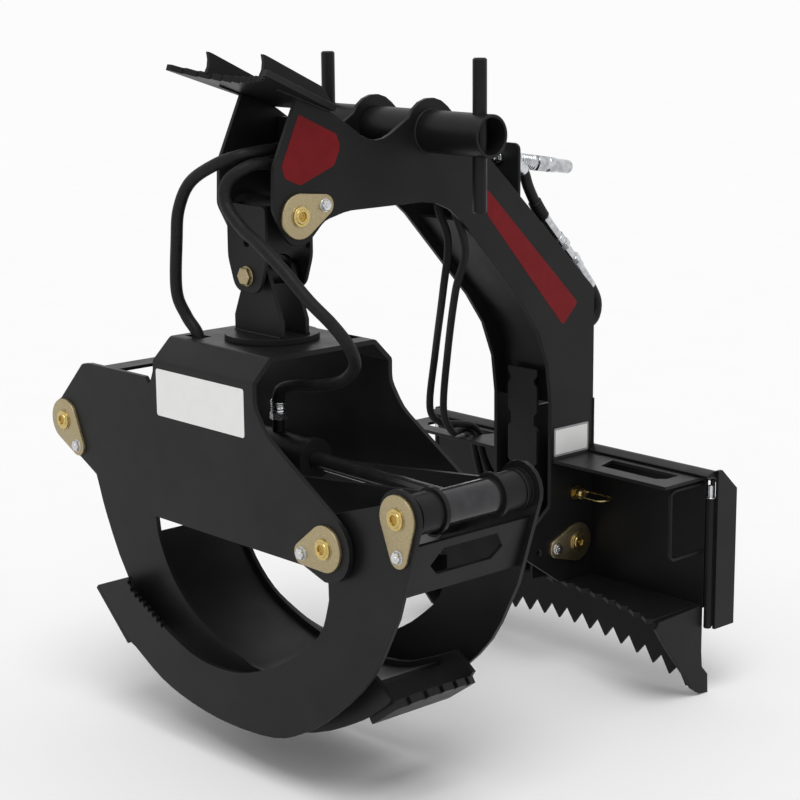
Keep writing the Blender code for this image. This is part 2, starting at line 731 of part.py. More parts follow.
def keeper_pin(name, axis, centre, bolt, radius, face, far_end, side, body, middle=0):
    """A pin along X or Y: its keeper lies on the face at side * face, its tail ends at far_end."""
    low, high = middle + side * (face + GAP), middle + side * (face + GAP + KEEPER_T)
    head = plate(name, [keeper_outline(centre, bolt)], axis, min(low, high), max(low, high), GOLD_ZINC, body)

    def at(point, distance):
        if axis == "X":
            return (distance, point[0], point[1])
        return (point[0], distance, point[1])

    shaft = bar(name + "_shaft", at(centre, high + side * PIN_PROUD), at(centre, far_end), radius)
    bolt_top = high + side * KEEPER_BOLT_H
    screw = bar(name + "_screw", at(bolt, (low + high) / 2), at(bolt, bolt_top), KEEPER_BOLT_R, HEX_SIDES)
    return fuse(head, shaft, screw)


# Mast

def seat_z(y):
    """Height of the pusher's underside at a place along the mast."""
    return PUSHER_REAR_Z + (PUSHER_REAR_Y - y) * math.tan(PUSHER_SLOPE)


def arch_corners():
    return [
        (ARCH_CORNER_Y, ARCH_Z, ARCH_CORNER_R),
        (MAST_FRONT_Y, KNEE_Z, KNEE_R),
    ]


def mast_outline():
    nose = [(NOSE_PIN_Y + NOSE_R * u, NOSE_PIN_Z + NOSE_R * v, NOSE_R * r) for u, v, r in NOSE_SHARES]
    foot = [
        (MAST_FRONT_Y, MAST_CALF_Z, TOE_R),
        (TOE_Y, TOE_TOP_Z, TOE_R),
        (TOE_Y, TOE_BOTTOM_Z, TOE_R),
        (HEEL_Y, MAST_BOTTOM, TOE_R),
        (MAST_REAR_Y, MAST_BOTTOM, 0),
        (MAST_REAR_Y, SHOULDER_Z, SHOULDER_R),
    ]
    ear = [(*p, 0) for p in arc((TUBE_Y, TUBE_Z), EAR_R, EAR_START, EAR_END)]
    brow = [
        (DIP_Y, DIP_Z, DIP_R),
        (PUSHER_REAR_Y, seat_z(PUSHER_REAR_Y) - GAP, BROW_R),
        (SEAT_FRONT_Y, seat_z(SEAT_FRONT_Y) - GAP, 0),
    ]
    under = [(ARCH_START_Y, ARCH_Z, ARCH_START_R)] + arch_corners()
    return rounded_loop(under + foot + ear + brow + nose[::-1])


def mast_plate(name, side):
    loops = [
        mast_outline(),
        circle((TUBE_Y, TUBE_Z), TUBE_R + FIT),
        circle(NOSE_PIN, PIN_R + FIT),
        circle((FOOT_PIN_Y, FOOT_PIN_Z), PIN_R + FIT),
        circle((LOCK_PIN_Y, LOCK_PIN_Z), LOCK_PIN_R + FIT, SMALL_SIDES),
        circle((SPARE_HOLE_Y, SPARE_HOLE_Z), SPARE_HOLE_R, SMALL_SIDES),
    ]
    faces = sorted((side * MAST_INNER, side * MAST_HALF_WIDTH))
    plate(name, loops, "X", *faces, body=frame_body)


def arch_web():
    corner, knee = arch_corners()
    start = Vector(corner[:2]).lerp(Vector(knee[:2]), ARCH_WEB_START_SHARE)
    path = rounded([tuple(start), knee, (MAST_FRONT_Y, ARCH_WEB_END_Z)])
    outline = band(path, WEB_INSET, WEB_INSET + SHEET)
    plate("mast_arch_web", [outline], "X", -MAST_FILL, MAST_FILL, body=frame_body)


def rear_web():
    shoulder = (MAST_REAR_Y, SHOULDER_Z, SHOULDER_R)
    ear = Vector(polar((TUBE_Y, TUBE_Z), EAR_R, EAR_START))
    top = Vector(shoulder[:2]).lerp(ear, REAR_WEB_TOP_SHARE)
    path = rounded([(MAST_REAR_Y, REAR_WEB_BOTTOM), shoulder, tuple(top)])
    outline = band(path, REAR_WEB_INSET, REAR_WEB_INSET + SHEET)
    plate("mast_rear_web", [outline], "X", -MAST_FILL, MAST_FILL, body=frame_body)


def nose_bulkhead():
    outline = [(-MAST_FILL, BULKHEAD_BOTTOM), (MAST_FILL, BULKHEAD_BOTTOM),
               (MAST_FILL, BULKHEAD_TOP), (-MAST_FILL, BULKHEAD_TOP)]
    plate("nose_bulkhead", [outline], "Y", BULKHEAD_Y - SHEET, BULKHEAD_Y, body=frame_body)


def inner_post():
    height = INNER_POST_TOP - INNER_POST_BOTTOM
    right = [(INNER_POST_HALF_WIDTH, INNER_POST_BOTTOM)]
    for low, high in INNER_POST_NOTCH_SHARES:
        slant = INNER_POST_STEP / height
        for share, step in ((low, 0), (low + slant, 1), (high - slant, 1), (high, 0)):
            x = INNER_POST_HALF_WIDTH - step * INNER_POST_STEP
            right.append((x, INNER_POST_BOTTOM + height * share))
    right.append((INNER_POST_HALF_WIDTH, INNER_POST_TOP))
    outline = right + [(-x, z) for x, z in reversed(right)]
    post = plate("mast_inner_post", [outline], "Y", MAST_FRONT_Y, MAST_FRONT_Y + SHEET, body=frame_body)
    wall_face = INNER_POST_HALF_WIDTH - INNER_POST_STEP - SHEET / 2
    walls = []
    for side in (-1, 1):
        faces = sorted((side * wall_face, side * (wall_face - SHEET)))
        outline = [(MAST_FRONT_Y + SINK, MAST_BOTTOM), (MAST_REAR_Y, MAST_BOTTOM),
                   (MAST_REAR_Y, POST_SHOULDER_Z), (POST_SHOULDER_Y, POST_SHOULDER_Z),
                   (POST_SHOULDER_Y, INNER_POST_WALL_TOP), (MAST_FRONT_Y + SINK, INNER_POST_WALL_TOP)]
        walls.append(plate("post_wall", [outline], "X", *faces))
    bushes = []
    bores = []
    for y, z, bush_r, bore_r in ((FOOT_PIN_Y, FOOT_PIN_Z, FOOT_BUSH_R, PIN_R + FIT),
                                 (LOCK_PIN_Y, LOCK_PIN_Z, LOCK_BUSH_R, LOCK_PIN_R + FIT)):
        bushes.append(bar("post_bush", (-MAST_FILL, y, z), (MAST_FILL, y, z), bush_r))
        bores.append(bar("post_bore", (-MAST_HALF_WIDTH, y, z), (MAST_HALF_WIDTH, y, z), bore_r))
    fuse(post, *walls, *bushes)
    cut(post, *bores)


def cross_tube():
    loops = [circle((TUBE_Y, TUBE_Z), TUBE_R), circle((TUBE_Y, TUBE_Z), TUBE_R - TUBE_WALL)]
    tube = plate("cross_tube", loops, "X", -TUBE_HALF_LENGTH, TUBE_HALF_LENGTH, body=frame_body)
    for name, side in (("stake_left", -1), ("stake_right", 1)):
        bottom, top = (side * STAKE_X, TUBE_Y, STAKE_BOTTOM), (side * STAKE_X, TUBE_Y, STAKE_TOP)
        cut(tube, bar(name + "_hole", bottom, top, STAKE_R + FIT, SMALL_SIDES))
        bar(name, bottom, top, STAKE_R, SMALL_SIDES, body=frame_body)


def pusher():
    """The sloping toothed plate on the nose, with a rib above each mast plate."""
    forward = Vector((0, -math.cos(PUSHER_SLOPE), math.sin(PUSHER_SLOPE)))
    upward = Vector((0, math.sin(PUSHER_SLOPE), math.cos(PUSHER_SLOPE)))
    origin = Vector((0, PUSHER_REAR_Y, PUSHER_REAR_Z))
    front = toothed((-PUSHER_HALF_WIDTH, -PUSHER_LENGTH), (PUSHER_HALF_WIDTH, -PUSHER_LENGTH),
                    PUSHER_HOLLOW, PUSHER_PITCH, PUSHER_TOOTH, TOOTH_TIP_SHARE)
    outline = front + [(PUSHER_REAR_HALF_WIDTH, 0), (-PUSHER_REAR_HALF_WIDTH, 0)]
    frame = tilted(origin, (1, 0, 0), -forward)
    base = slab("pusher", [outline], frame, 0, PUSHER_T, body=frame_body)
    ribs = []
    for side in (-1, 1):
        aside = Vector((side * (MAST_HALF_WIDTH - PLATE / 2), 0, 0))
        rib_origin = origin + upward * (PUSHER_T - SINK) + aside
        rib = [(-PUSHER_LENGTH * s, (RIB_H + SINK) * h) for s, h in RIB_SHARES]
        rib_frame = tilted(rib_origin, -forward, upward)
        ribs.append(slab("pusher_rib", [rib], rib_frame, -PLATE / 2, PLATE / 2))
    fuse(base, *ribs)


def nose_pin():
    bolt = NOSE_PIN + Vector(NOSE_BOLT)
    tail = -MAST_HALF_WIDTH - PIN_PROUD
    keeper_pin("nose_pin", "X", NOSE_PIN, bolt, PIN_R, MAST_HALF_WIDTH, tail, 1, frame_body)


# Mounting frame

def mount_plate():
    top = SHELF_TOP - SHEET - GAP
    outline = [(-PLATE_END, MOUNT_PLATE_BOTTOM), (PLATE_END, MOUNT_PLATE_BOTTOM),
               (PLATE_END, top), (-PLATE_END, top)]
    plate("mount_plate", [outline], "Y", MOUNT_PLATE_FRONT, 0, body=frame_body)


def mount_lip():
    base = SHELF_TOP + GAP
    outline = [(LIP_REACH * u, base + LIP_RISE * v) for u, v in LIP_SHARES]
    lip = plate("mount_lip", [outline], "X", -MOUNT_HALF_WIDTH, MOUNT_HALF_WIDTH, body=frame_body)
    for side in (-1, 1):
        faces = sorted((side * (MAST_INNER - GAP), side * (MAST_HALF_WIDTH + GAP)))
        low = (faces[0], -LIP_REACH - OVERRUN, base - OVERRUN)
        high = (faces[1], MAST_REAR_Y + GAP, base + LIP_RISE + OVERRUN)
        cut(lip, box_cutter("lip_slot", low, high))


def mount_side(name, side):
    """End flange with the round corner post welded inside it."""
    outline = [(SIDE_FRONT_Y, SIDE_BOTTOM), (SIDE_REAR_Y, SIDE_BOTTOM), (SIDE_REAR_Y, SIDE_SLOPE_Z),
               (SIDE_FRONT_Y + SIDE_CREST, SIDE_TOP), (SIDE_FRONT_Y, SIDE_TOP)]
    inner = MOUNT_HALF_WIDTH + GAP
    faces = sorted((side * inner, side * (inner + SHEET)))
    flange = plate(name, [outline], "X", *faces, body=frame_body)
    x = side * (MOUNT_HALF_WIDTH - POST_R)
    post_top = SHELF_TOP - SHEET - GAP
    foot, pin_foot = SIDE_BOTTOM + POST_PIN_R, POST_TOP - OVERRUN
    post = bar(name + "_post", (x, POST_Y, foot), (x, POST_Y, POST_TOP), POST_R, SMALL_SIDES)
    pin = bar(name + "_pin", (x, POST_Y, pin_foot), (x, POST_Y, post_top), POST_PIN_R, SMALL_SIDES)
    tab = box_cutter(name + "_tab", (min(x, side * (inner + SHEET / 2)), POST_Y, SIDE_BOTTOM + POST_R),
                     (max(x, side * (inner + SHEET / 2)), POST_Y + POST_PIN_R, POST_TOP - POST_R))
    fuse(flange, post, pin, tab)


def shelf(name, side):
    inner, outer = MAST_HALF_WIDTH + GAP, PLATE_END
    outline = [(side * inner, -SHELF_DEPTH), (side * outer, -SHELF_DEPTH),
               (side * outer, 0), (side * inner, 0)]
    c = WINDOW_CHAMFER
    near, far = MAST_HALF_WIDTH + WINDOW_INNER_EDGE, MOUNT_HALF_WIDTH - WINDOW_OUTER_EDGE
    window = [
        (near, WINDOW_REAR_Y),
        (near + c, WINDOW_FRONT_Y),
        (far - c, WINDOW_FRONT_Y),
        (far, WINDOW_FRONT_Y + c),
        (far, WINDOW_REAR_Y),
    ]
    window = [(side * x, y) for x, y in window]
    plate(name, [outline, window], "Z", SHELF_TOP - SHEET, SHELF_TOP, body=frame_body)


def lower_tooth_shelf():
    end = GUSSET_INNER - GAP
    front = toothed((end, LOWER_SHELF_HORN_Y), (-end, LOWER_SHELF_HORN_Y), -LOWER_SHELF_HOLLOW,
                    SHELF_TOOTH_PITCH, -SHELF_TOOTH, SHELF_TOOTH_TIP_SHARE)
    outline = front + [(-end, MAST_REAR_Y), (end, MAST_REAR_Y)]
    plate("lower_tooth_shelf", [outline], "Z", LOWER_SHELF_TOP - PLATE, LOWER_SHELF_TOP, body=frame_body)


def lower_tooth_plate():
    end = GUSSET_INNER - GAP
    top = LOWER_SHELF_TOP - PLATE - GAP
    arch = TOOTH_PLATE_ROOT_Z - TOOTH_PLATE_END_Z
    bottom = toothed((-end, TOOTH_PLATE_END_Z), (end, TOOTH_PLATE_END_Z), arch, TOOTH_PITCH, TOOTH_DEPTH,
                     TOOTH_TIP_SHARE)
    outline = bottom + [(end, top), (-end, top)]
    plate("lower_tooth_plate", [outline], "Y", TOOTH_PLATE_Y - SHEET, TOOTH_PLATE_Y, body=frame_body)


def end_gusset(name, side):
    depth, height = MAST_REAR_Y - GUSSET_NOSE_Y, LOWER_SHELF_TOP - FOOT_Z
    outline = [(MAST_REAR_Y - depth * u, LOWER_SHELF_TOP - height * v) for u, v in GUSSET_SHARES]
    faces = sorted((side * GUSSET_INNER, side * PLATE_END))
    plate(name, [outline], "X", *faces, body=frame_body)


def grab_handle():
    x = PLATE_END - 2 * HANDLE_R
    back, front = MAST_REAR_Y, MAST_REAR_Y - HANDLE_REACH
    corners = [(back, HANDLE_TOP), (front, HANDLE_TOP, HANDLE_BEND_R), (front, HANDLE_BOTTOM, HANDLE_BEND_R),
               (back, HANDLE_BOTTOM)]
    points = [(x, y, z) for y, z in rounded(corners)]
    wire("grab_handle", points, HANDLE_R, material=BLACK, body=frame_body)


def foot_pin():
    centre = Vector((FOOT_PIN_Y, FOOT_PIN_Z))
    keeper_pin("foot_pin", "X", centre, centre + Vector(FOOT_BOLT), PIN_R, MAST_HALF_WIDTH,
               -MAST_HALF_WIDTH - PIN_PROUD, 1, frame_body)


def lock_pin():
    """Pull pin with a turned head; its ring hangs in a hole across the head."""
    face = MAST_HALF_WIDTH + GAP
    tip = -MAST_HALF_WIDTH - PIN_PROUD
    length = LOCK_HEAD_LENGTH
    turnings = [(LOCK_HEAD_R * u, face + length * v) for u, v in LOCK_HEAD_SHARES]
    profile = [(0, face + length)] + turnings + [(LOCK_PIN_R, face), (LOCK_PIN_R, tip), (0, tip)]
    origin = (0, LOCK_PIN_Y, LOCK_PIN_Z)
    pin = turned("lock_pin", profile, origin, (1, 0, 0), SMALL_SIDES, GOLD_ZINC, frame_body)
    x = MAST_HALF_WIDTH + RING_STAND_OFF
    reach = LOCK_HEAD_R + OVERRUN
    hole = bar("ring_hole", (x, LOCK_PIN_Y - reach, LOCK_PIN_Z), (x, LOCK_PIN_Y + reach, LOCK_PIN_Z),
               RING_WIRE_R + RING_HOLE_PLAY, SMALL_SIDES)
    cut(pin, hole)
    ring_body = pivot("ring_pivot", (x, LOCK_PIN_Y, LOCK_PIN_Z), frame_body)
    w = RING_HALF_WIDTH
    corners = rounded_loop([(0, -w, RING_NEAR_R), (RING_LENGTH, -w, RING_FAR_R),
                            (RING_LENGTH, w, RING_FAR_R), (0, w, RING_NEAR_R)])
    points = [(x + u, LOCK_PIN_Y + v, LOCK_PIN_Z) for u, v in corners]
    wire("lock_ring", points, RING_WIRE_R, True, GOLD_ZINC, ring_body)


def coupler_block():
    """Bracket behind the cross tube with two quick couplers through it."""
    shoulder = Vector((MAST_REAR_Y, SHOULDER_Z))
    ear = Vector(polar((TUBE_Y, TUBE_Z), EAR_R, EAR_START))
    slope = (ear.y - shoulder.y) / (ear.x - shoulder.x)
    rear_edge = SHOULDER_Z + (COUPLER_Y - MAST_REAR_Y) * slope
    w = MAST_FILL
    bottom = rear_edge - BRACKET_DEPTH
    outline = rounded_loop([(-w, bottom, 0), (w, bottom, 0), (w, BRACKET_TOP, BRACKET_CORNER_R),
                            (-w, BRACKET_TOP, BRACKET_CORNER_R)])
    block = plate("coupler_block", [outline], "Y", COUPLER_Y, COUPLER_Y + SHEET, BRIGHT_ZINC, frame_body)
    turnings = [(COUPLER_R * u, COUPLER_LENGTH * v) for u, v in COUPLER_SHARES]
    profile = [(0, COUPLER_LENGTH)] + turnings + [(0, 0)]
    tools = []
    for side in (-1, 1):
        origin = (side * COUPLER_X, COUPLER_Y - SHEET, COUPLER_Z)
        direction = (0, math.cos(COUPLER_DROP), -math.sin(COUPLER_DROP))
        tools.append(turned("coupler", profile, origin, direction, SMALL_SIDES))
    fuse(block, *tools)


# Knuckle

def link():
    inner = LINK_HALF_DEPTH - SHEET
    top, bottom = NOSE_PIN_Z + LINK_CROWN, CROSS_PIN_Z - LINK_CHIN
    w, chin = LINK_HALF_WIDTH, LINK_HALF_WIDTH * LINK_CHIN_SHARE
    shoulder = top + (bottom - top) * LINK_SHOULDER_SHARE
    corner_r, chin_r = w * LINK_CORNER_SHARE, w * LINK_CHIN_ROUND_SHARE
    outline = rounded_loop([(-w, top, corner_r), (-w, shoulder, w), (-chin, bottom, chin_r),
                            (chin, bottom, chin_r), (w, shoulder, w), (w, top, corner_r)])
    loops = [outline, circle((0, CROSS_PIN_Z), CROSS_PIN_R + FIT),
             circle((0, NOSE_PIN_Z - LINK_HOLE_DROP), LINK_HOLE_R, SMALL_SIDES)]
    for name, side in (("link_plate_front", -1), ("link_plate_rear", 1)):
        faces = sorted((HEAD_Y + side * inner, HEAD_Y + side * LINK_HALF_DEPTH))
        plate(name, loops, "Y", *faces, body=link_body)
    reach = inner - GAP
    skirt = NOSE_PIN_Z - CHEEK_SKIRT
    cheek = [(HEAD_Y - reach, skirt), (HEAD_Y + reach, skirt), (HEAD_Y + reach, top), (HEAD_Y - reach, top)]
    barrel_ends = (-MAST_FILL, *NOSE_PIN), (MAST_FILL, *NOSE_PIN)
    barrel = bar("link_barrel", *barrel_ends, KNUCKLE_BARREL_R, body=link_body)
    cheeks = []
    for side in (-1, 1):
        faces = sorted((side * (CHEEK_X - SHEET / 2), side * (CHEEK_X + SHEET / 2)))
        cheeks.append(plate("link_cheek", [cheek], "X", *faces))
    fuse(barrel, *cheeks)
    bore_ends = (-MAST_HALF_WIDTH, *NOSE_PIN), (MAST_HALF_WIDTH, *NOSE_PIN)
    cut(barrel, bar("link_bore", *bore_ends, PIN_R + FIT))
    face = LINK_HALF_DEPTH + GAP
    front, rear = HEAD_Y - face, HEAD_Y + face
    z = CROSS_PIN_Z
    bolt = bar("cross_bolt", (0, front - CROSS_HEAD_T, z), (0, front, z), CROSS_HEAD_R, HEX_SIDES, GOLD_ZINC,
               link_body)
    shank = bar("cross_shank", (0, front - SINK, z), (0, rear + SINK, z), CROSS_PIN_R)
    nut = bar("cross_nut", (0, rear, z), (0, rear + CROSS_HEAD_T, z), CROSS_HEAD_R, HEX_SIDES)
    fuse(bolt, shank, nut)


def yoke():
    w, r = YOKE_HALF_WIDTH, YOKE_TOP_R
    base = DISC_TOP + GAP
    shoulder = base + YOKE_SHOULDER
    crown = arc((0, CROSS_PIN_Z), r, YOKE_LEAN, math.pi - YOKE_LEAN)
    outline = [(w, base), (w, shoulder)] + crown + [(-w, shoulder), (-w, base)]
    loops = [outline, circle((0, CROSS_PIN_Z), YOKE_BOSS_R + FIT)]
    inner = YOKE_HALF_DEPTH - PLATE
    for name, side in (("yoke_plate_front", -1), ("yoke_plate_rear", 1)):
        faces = sorted((HEAD_Y + side * inner, HEAD_Y + side * YOKE_HALF_DEPTH))
        plate(name, loops, "Y", *faces, body=yoke_body)
    reach = LINK_HALF_DEPTH - SHEET - GAP
    loops = [circle((0, CROSS_PIN_Z), YOKE_BOSS_R), circle((0, CROSS_PIN_Z), CROSS_PIN_R + FIT)]
    plate("yoke_barrel", loops, "Y", HEAD_Y - reach, HEAD_Y + reach, body=yoke_body)
    spindle_end = HEAD_TOP - PLATE - GAP - RETAINER_T
    profile = [(0, DISC_TOP), (DISC_R, DISC_TOP), (DISC_R, DISC_TOP - DISC_T),
               (SPINDLE_R, DISC_TOP - DISC_T), (SPINDLE_R, spindle_end), (0, spindle_end)]
    turned("swivel_disc", profile, (0, HEAD_Y, 0), (0, 0, 1), body=yoke_body)
    loops = [circle((0, HEAD_Y), RETAINER_R), circle((0, HEAD_Y), SPINDLE_R + FIT)]
    plate("swivel_retainer", loops, "Z", spindle_end, spindle_end + RETAINER_T, BRIGHT_ZINC, yoke_body)


# Head

def head_outline():
    """Side view of the shell: crown, right arm to its eye, belly, and left wing with its eye."""
    w = HEAD_HALF_WIDTH
    top, bottom = HEAD_TOP + OVERRUN, HEAD_TOP - HEAD_DEPTH
    arm = [(w + (P2.x - w) * u, HEAD_TOP - P2_DROP * v, w * r) for u, v, r in ARM_SHARES]
    wing = [(-w + (P1.x + w) * u, HEAD_TOP - P1_DROP * v, w * r) for u, v, r in WING_SHARES]
    right_eye = [(*p, 0) for p in arc(P2, HEAD_EYE_R, *HEAD_EYE_ARC)]
    left_eye = [(*p, 0) for p in arc(P1, WING_EYE_R, *WING_EYE_ARC)]
    belly = [(-w + (P1.x + w) * u, HEAD_TOP - HEAD_DEPTH * v, w * r) for u, v, r in BELLY_SHARES]
    heel = [(P2.x - HEAD_EYE_R, bottom, 0)]
    return rounded_loop([(w, top, 0)] + arm + right_eye + heel + belly + left_eye + wing + [(-w, top, 0)])


def head_shell():
    """A bent plate: the folded section along X, kept only inside the side view."""
    d, c = HEAD_HALF_DEPTH, HEAD_CROWN_HALF_DEPTH
    fold = HEAD_TOP - HEAD_BEVEL
    low = HEAD_TOP - HEAD_DEPTH - HEAD_EYE_R
    path = rounded([(HEAD_Y - d, low), (HEAD_Y - d, fold, HEAD_BEND_R), (HEAD_Y - c, HEAD_TOP, HEAD_BEND_R),
                    (HEAD_Y + c, HEAD_TOP, HEAD_BEND_R), (HEAD_Y + d, fold, HEAD_BEND_R), (HEAD_Y + d, low)])
    section = band(path, 0, -PLATE)
    left, right = P1.x - WING_EYE_R - OVERRUN, P2.x + HEAD_EYE_R + OVERRUN
    shell = plate("head_shell", [section], "X", left, right, body=head_body)
    loops = [head_outline(), circle(P1, PIN_R + FIT), circle(P2, PIN_R + FIT)]
    mask = plate("head_mask", loops, "Y", HEAD_Y - d - OVERRUN, HEAD_Y + d + OVERRUN)
    combine(shell, "INTERSECT", [mask])
    cut(shell, bar("spindle_hole", (0, HEAD_Y, HEAD_TOP - PLATE - OVERRUN), (0, HEAD_Y, HEAD_TOP + OVERRUN),
                   SPINDLE_R + FIT))
    for x, y in ((SLOT_A_X, SLOT_A_Y), (SLOT_B_X, SLOT_B_Y)):
        low = (x - SLOT_LENGTH / 2, HEAD_Y + y - SLOT_WIDTH / 2, HEAD_TOP - PLATE - OVERRUN)
        high = (x + SLOT_LENGTH / 2, HEAD_Y + y + SLOT_WIDTH / 2, HEAD_TOP + OVERRUN)
        cut(shell, box_cutter("hose_slot", low, high))


def wing_web():
    x, w = WING_WEB_X, WING_WEB_HALF_LENGTH
    reach = HEAD_INNER - GAP
    outline = [(x - w, HEAD_Y - reach), (x + w, HEAD_Y - reach),
               (x + w, HEAD_Y + reach), (x - w, HEAD_Y + reach)]
    top = HEAD_TOP - WING_WEB_DROP
    plate("wing_web", [outline], "Z", top - SHEET, top, body=head_body)


def head_pins():
    tail = HEAD_Y + HEAD_HALF_DEPTH + PIN_PROUD
    face = HEAD_HALF_DEPTH
    for name, centre, bolt in (("left_tong_pin", P1, P1_BOLT), ("right_tong_pin", P2, P2_BOLT)):
        keeper_pin(name, "Y", centre, centre + Vector(bolt), PIN_R, face, tail, -1, head_body, HEAD_Y)


# Tongs

def walk(path, distance):
    """The point and the left-hand normal at a distance along a polyline."""
    for a, b in zip(path, path[1:]):
        a, b = Vector(a), Vector(b)
        step = (b - a).length
        if distance <= step:
            break
        distance -= step
    along = (b - a).normalized()
    return a + along * distance, Vector((-along.y, along.x))


def length_of(path):
    return sum((Vector(b) - Vector(a)).length for a, b in zip(path, path[1:]))


def serrate(path, pitch, depth, count):
    """Square teeth cut into the right-hand side of the first part of a path."""
    points = []
    for i in range(count):
        for share, level in TOOTH_SHARES:
            point, left = walk(path, pitch * (i + share))
            points.append(tuple(point - left * depth * level))
    used, total, samples = pitch * count, length_of(path), len(path)
    for i in range(samples + 1):
        point, left = walk(path, used + (total - used) * i / samples)
        points.append(tuple(point))
    return points


def y_faces(side, inner, outer):
    return sorted((HEAD_Y + side * inner, HEAD_Y + side * outer))


def y_bar(name, centre, low, high, radius, material=BLACK, body=None):
    x, z = centre
    return bar(name, (x, low, z), (x, high, z), radius, ROUND_SIDES, material, body)


def right_tong_outline():
    outer = smooth(offsets(P2, RIGHT_OUTER_SHARES), TONG_STEPS)
    inner = smooth(offsets(P2, RIGHT_INNER_SHARES), TONG_STEPS)
    inner = serrate([tuple(p) for p in inner], RIGHT_TOOTH_PITCH, RIGHT_TOOTH, RIGHT_TEETH)
    lever = arc(P3, LEVER_EYE_R, *LEVER_EYE_ARC)
    hinge = arc(P2, TONG_EYE_R, *RIGHT_HINGE_ARC)
    tip = offsets(P2, RIGHT_TIP_SHARES)
    return lever + [tuple(p) for p in outer] + tip + inner + hinge


def right_tong():
    d = RIGHT_TONG_HALF_DEPTH
    outline = right_tong_outline()
    boss = HEAD_INNER - GAP
    collar = TIE_HALF_DEPTH + GAP
    for name, side in (("right_tong_plate_front", -1), ("right_tong_plate_rear", 1)):
        tong = plate(name, [outline], "Y", *y_faces(side, d - PLATE, d), body=right_body)
        fuse(tong, y_bar("hinge_boss", P2, *y_faces(side, SLEEVE_INNER_Y, boss), SLEEVE_R),
             y_bar("lever_collar", P3, *y_faces(side, collar, d - PLATE / 2), LEVER_COLLAR_R))
        ends = (HEAD_Y - d - OVERRUN, HEAD_Y + d + OVERRUN)
        cut(tong, y_bar("hinge_bore", P2, *ends, PIN_R + FIT), y_bar("lever_bore", P3, *ends, PIN_R + FIT))
    reach = d - PLATE - GAP
    top, bottom = offsets(P2, (BOX_TOP_SHARE, BOX_BOTTOM_SHARE))
    rise = Vector((top[0] - bottom[0], 0, top[1] - bottom[1]))
    w, c, h = BOX_WINDOW_HALF_WIDTH, BOX_WINDOW_CHAMFER, rise.length
    low, high = (h * share for share in BOX_WINDOW_SHARES)
    loops = [
        [(-reach, 0), (reach, 0), (reach, h), (-reach, h)],
        [(-w + c, low), (w - c, low), (w, low + c), (w - c, high), (-w + c, high), (-w, low + c)],
    ]
    frame = tilted((bottom[0], HEAD_Y, bottom[1]), (0, 1, 0), rise)
    slab("right_tong_box", loops, frame, -SHEET, 0, body=right_body)
    outline = band(offsets(P2, RIGHT_TIP_SHARES), GAP, GAP + PLATE)
    plate("right_tong_tip", [outline], "Y", HEAD_Y - d, HEAD_Y + d, body=right_body)


def lever_pins():
    """Pin stubs at the lever eye; they carry the tie link and stop at the rod's boss."""
    stop = rod_boss_reach() + GAP
    face = RIGHT_TONG_HALF_DEPTH
    bolt = P3 + Vector(P3_BOLT)
    for name, side in (("lever_pin_front", -1), ("lever_pin_rear", 1)):
        keeper_pin(name, "Y", P3, bolt, PIN_R, face, HEAD_Y + side * stop, side, right_body, HEAD_Y)


def left_tong():
    d = LEFT_TONG_HALF_DEPTH
    inner_face = d - PLATE
    outer = [tuple(p) for p in smooth(offsets(P1, LEFT_OUTER_SHARES), TONG_STEPS)]
    inner = [tuple(p) for p in smooth(offsets(P1, LEFT_INNER_SHARES), TONG_STEPS)]
    hinge = arc(P1, TONG_EYE_R, *LEFT_HINGE_ARC)
    link_eye = arc(P4, TONG_EYE_R, *LINK_EYE_ARC)
    outline = hinge + outer + offsets(P1, LEFT_TIP_SHARES)[:1] + inner + link_eye
    for name, side in (("left_tong_plate_front", -1), ("left_tong_plate_rear", 1)):
        tong = plate(name, [outline], "Y", *y_faces(side, inner_face, d), body=left_body)
        fuse(tong, y_bar("hinge_collar", P1, *y_faces(side, d - PLATE / 2, HEAD_INNER - GAP), LEFT_COLLAR_R),
             y_bar("link_collar", P4, *y_faces(side, TIE_HALF_DEPTH + GAP, d - PLATE / 2), P4_COLLAR_R))
        cut(tong, y_bar("hinge_bore", P1, HEAD_Y - HEAD_HALF_DEPTH, HEAD_Y + HEAD_HALF_DEPTH, PIN_R + FIT))
    reach = inner_face - GAP
    trim = round(len(inner) * LEFT_WEB_TRIM_SHARE)
    skin = inner[trim:-trim]
    outline = band(skin, LEFT_WEB_INSET, LEFT_WEB_INSET + SHEET)
    plate("left_tong_web", [outline], "Y", HEAD_Y - reach, HEAD_Y + reach, body=left_body)
    tail, lead = (Vector(p) for p in offsets(P1, LEFT_OUTER_SHARES[-2:]))
    ahead = Vector((lead.x - tail.x, 0, lead.y - tail.y)).normalized()
    start = Vector((lead.x, HEAD_Y, lead.y)) - ahead * (LEFT_TIP_LENGTH - LEFT_NOTCH)
    frame = tilted(start, (0, 1, 0), ahead)
    notches = math.floor(2 * reach / LEFT_NOTCH_PITCH)
    edge = [(-reach, LEFT_TIP_LENGTH)]
    for i in range(notches):
        centre = (i - (notches - 1) / 2) * LEFT_NOTCH_PITCH
        for u, level in NOTCH_SHARES:
            y = centre + u * LEFT_NOTCH
            bow = LEFT_TIP_BOW * (1 - (y / reach) ** 2)
            edge.append((y, LEFT_TIP_LENGTH + bow - level * LEFT_NOTCH))
    edge.append((reach, LEFT_TIP_LENGTH))
    outline = [(reach, 0), (-reach, 0)] + edge
    slab("left_tong_tip", [outline], frame, 0, LEFT_TIP_T, body=left_body)


# Tie link and cylinder

def rod_boss_reach():
    return TIE_HALF_DEPTH - PLATE - GAP


